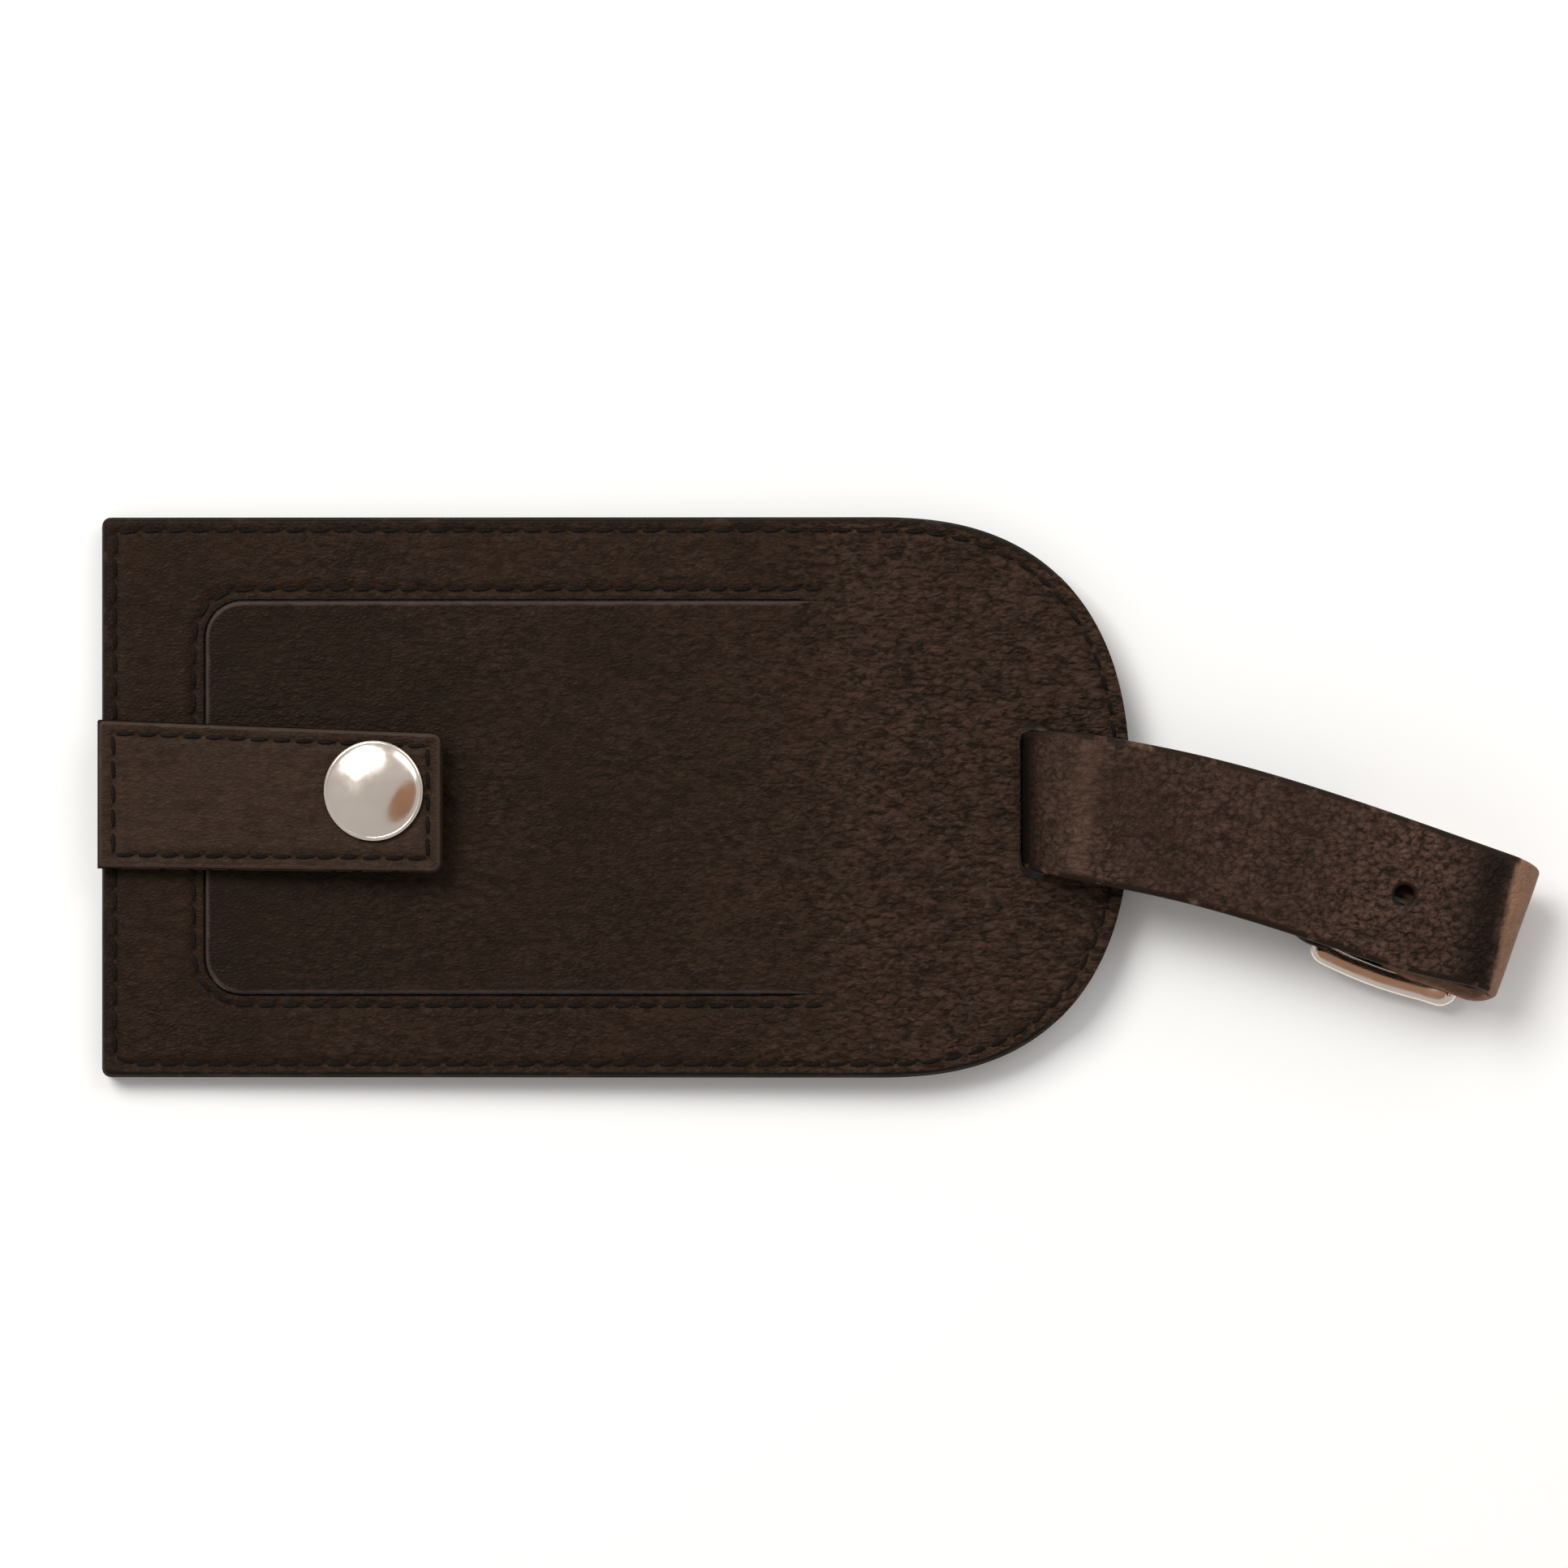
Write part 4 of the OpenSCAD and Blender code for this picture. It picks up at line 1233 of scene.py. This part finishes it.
def buckle_line():
    """The middle of the buckle's wire: bowed sides, front bar and heel bar, with rounded corners."""
    r = 1.3
    straight = BUCKLE_HALF - r - 1
    bow = [(BAR_LENGTH * u, BUCKLE_HALF + BUCKLE_BOW * math.sin(math.pi * u))
           for u in np.linspace(0.12, 0.88, 20)]
    front_corner = [tuple(q) for q in arc(BAR_LENGTH - r, BUCKLE_HALF - r + 0.1, r, 80, 0, 8)]
    front = [(BAR_LENGTH, y) for y in np.linspace(straight, -straight, 14)]
    heel_corner = [tuple(q) for q in arc(r, r - BUCKLE_HALF - 0.1, r, 260, 180, 8)]
    heel = [(0.0, y) for y in np.linspace(-straight, straight, 14)]
    half_way = bow + front_corner + front + mirrored(front_corner) + mirrored(bow)
    return resample(np.array(half_way + heel_corner + heel + mirrored(heel_corner)), 0.45)


def buckle_piece(nickel):
    """One bent wire with a thicker front bar. Its side bars are flattened and squared towards the inside."""
    line = buckle_line()
    thick = mix(WIRE_R, FRONT_BAR_R, smooth((line[:, 0] - BAR_LENGTH + 3.5) / 3))
    rings = tube_rings(np.column_stack([line, np.zeros(len(line))]), thick, 16, closed=True)
    middle, thick = line[:, 1:2], thick[:, None]
    flat = smooth((np.abs(middle) - BUCKLE_HALF + 0.7) / 0.9)
    section = signed_power((rings[:, :, 1] - middle) / thick, 1 - 0.4 * flat)
    rings[:, :, 1] = middle + section * thick * (1 + flat) - np.sign(middle) * thick * flat
    piece = make_lofts("buckle_wire", [rings], nickel, buckle_place, closed=True)
    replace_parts(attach(piece, "strap"), "buckle_frame")


def prong_piece(nickel):
    """Prong rolled round the heel bar, flat there and round at its tip, resting under the front bar."""
    wall = 0.3
    turn = WIRE_R + 0.07 + wall
    under = FRONT_BAR_R + PRONG_R + 0.05
    angle = math.atan2(under, BAR_LENGTH)
    length = BAR_LENGTH + 0.9
    curl = [(turn * math.cos(a), 0, turn * math.sin(a))
            for a in np.linspace(math.radians(300), -math.radians(40), 30)]
    shank = [(u * length * math.cos(angle), 0, -u * length * math.sin(angle) - 0.25 * math.sin(math.pi * u))
             for u in np.linspace(0.1, 1, 30)]
    line = resample(np.array(curl + shank), 0.3, closed=False)
    travel = along(line)
    rounding = smooth(travel / 6 - 0.4)
    tip = np.sqrt(np.clip((travel[-1] - travel + 0.06) / 0.9, 0.02, 1))
    rings = tube_rings(line, mix(wall, PRONG_R, rounding) * tip, 14, up=(0, 1, 0))
    rings[:, :, 1] *= mix(2.9, 1.0, rounding)[:, None]
    piece = make_lofts("prong", [rings], nickel, buckle_place)
    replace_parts(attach(piece, "prong"), "buckle_prong")


def keeper_piece(skin):
    """A band with rounded edges round both strap legs."""
    lo, hi = mm_box("keeper_loop")
    r = 1.0
    y1 = STRAP_WAIST / 2 + 0.2 + KEEPER_T / 2 - r
    z1 = (hi[2] - lo[2] - KEEPER_T) / 2 - r
    corners = [(y1, z1, 0), (-y1, z1, 90), (-y1, -z1, 180), (y1, -z1, 270)]
    loop = resample(np.vstack([arc(y, z, r, a, a + 90, 8) for y, z, a in corners]), 0.5)
    normal = loop - moved_left(loop, 1.0)
    half = KEEPER_L / 2
    section = np.vstack([arc(half - 0.3, 0, KEEPER_T / 2, -90, 90, 6),
                         arc(0.3 - half, 0, KEEPER_T / 2, 90, 270, 6)])
    rings = [[(a, y + b * ny, z + b * nz) for a, b in section] for (y, z), (ny, nz) in zip(loop, normal)]
    edge = np.tile(half - np.abs(section[:, 0]), len(loop))
    data = {"edge": np.clip(edge, 0, 9), "grain": np.full(len(edge), 0.3)}
    base = strap_spot(KEEPER_S, 0, (lo[2] + hi[2]) / 2)
    piece = make_lofts("keeper_band", [rings], skin, lambda p: on_strap(p, KEEPER_S, base), True, data)
    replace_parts(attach(piece, "keeper"), "keeper_loop")


# ---------- the whole object ----------

def finish_kept_nodes(nickel):
    """Better materials on the CAD nodes that no piece replaces."""
    finishes = {
        "stiffener_board": board_material(),
        "pocket_lining": cloth("lining_cloth", srgb(38, 34, 34), srgb(66, 60, 58)),
        "address_card": card_material(),
        "window_film": film_material(),
        "snap_socket": nickel,
        "snap_stud": nickel,
        "stud_post": nickel,
        "snap_spring": metal("spring_wire", (0.62, 0.6, 0.57, 1), 0.2, 0.35),
    }
    for name, material in finishes.items():
        node = frame["nodes"][name]
        if not node.material_slots:
            node.data.materials.append(material)
        for slot in node.material_slots:
            slot.material = material


def luggage_tag():
    # Each set is base, light, the painted shade between pebbles and in folds, and the painted highlight on
    # pebble tops and streaks
    body_colours = (srgb(28, 18, 12), srgb(36, 24, 17), srgb(12, 8, 6), srgb(73, 54, 44))
    strap_colours = (srgb(35, 23, 17), srgb(43, 30, 24), srgb(14, 10, 7), srgb(94, 71, 61))
    tab_colours = (srgb(41, 29, 22), srgb(51, 38, 30), srgb(18, 13, 9), srgb(84, 65, 54))
    body_skin = leather("dark_leather", *body_colours)
    # The flap's light edge paint and its rubbed colour are a painted highlight along the flap's cut edge
    flap_skin = leather("flap_leather", *body_colours, edge_paint_and_highlight=srgb(64, 52, 49),
                        rub_and_highlight=srgb(86, 73, 70), paint_mm=0.4)
    # The strap's colour for rubbed edge paint is also its painted highlight on the bend over the slot
    strap_skin = leather("strap_leather", *strap_colours, grain_mm=0.9, drawn=0.8, dots=0.55,
                         edge_paint_and_highlight=srgb(32, 23, 18), rub_and_highlight=srgb(128, 98, 82))
    # The tab's light edge paint is a painted highlight along its edges
    tab_skin = leather("tab_leather", *tab_colours, creases=0.25, edge_paint_and_highlight=srgb(60, 48, 42),
                       rub_and_highlight=srgb(84, 70, 62), paint_mm=0.5)
    flesh = suede("flesh_leather", srgb(74, 52, 38), srgb(98, 70, 52))
    nickel = metal("nickel_plate", (0.9, 0.79, 0.7, 1), 0.1, 0.22)
    thread = thread_material()

    body_pieces(body_skin)
    flap_pieces(flap_skin, flesh)
    tab_pieces(tab_skin, thread)
    cap_piece(nickel)
    strap_piece(strap_skin)
    chape_seam(thread)
    buckle_piece(nickel)
    prong_piece(nickel)
    keeper_piece(body_skin)
    body_stitches(thread)
    finish_kept_nodes(nickel)


camera()
studio()
luggage_tag()
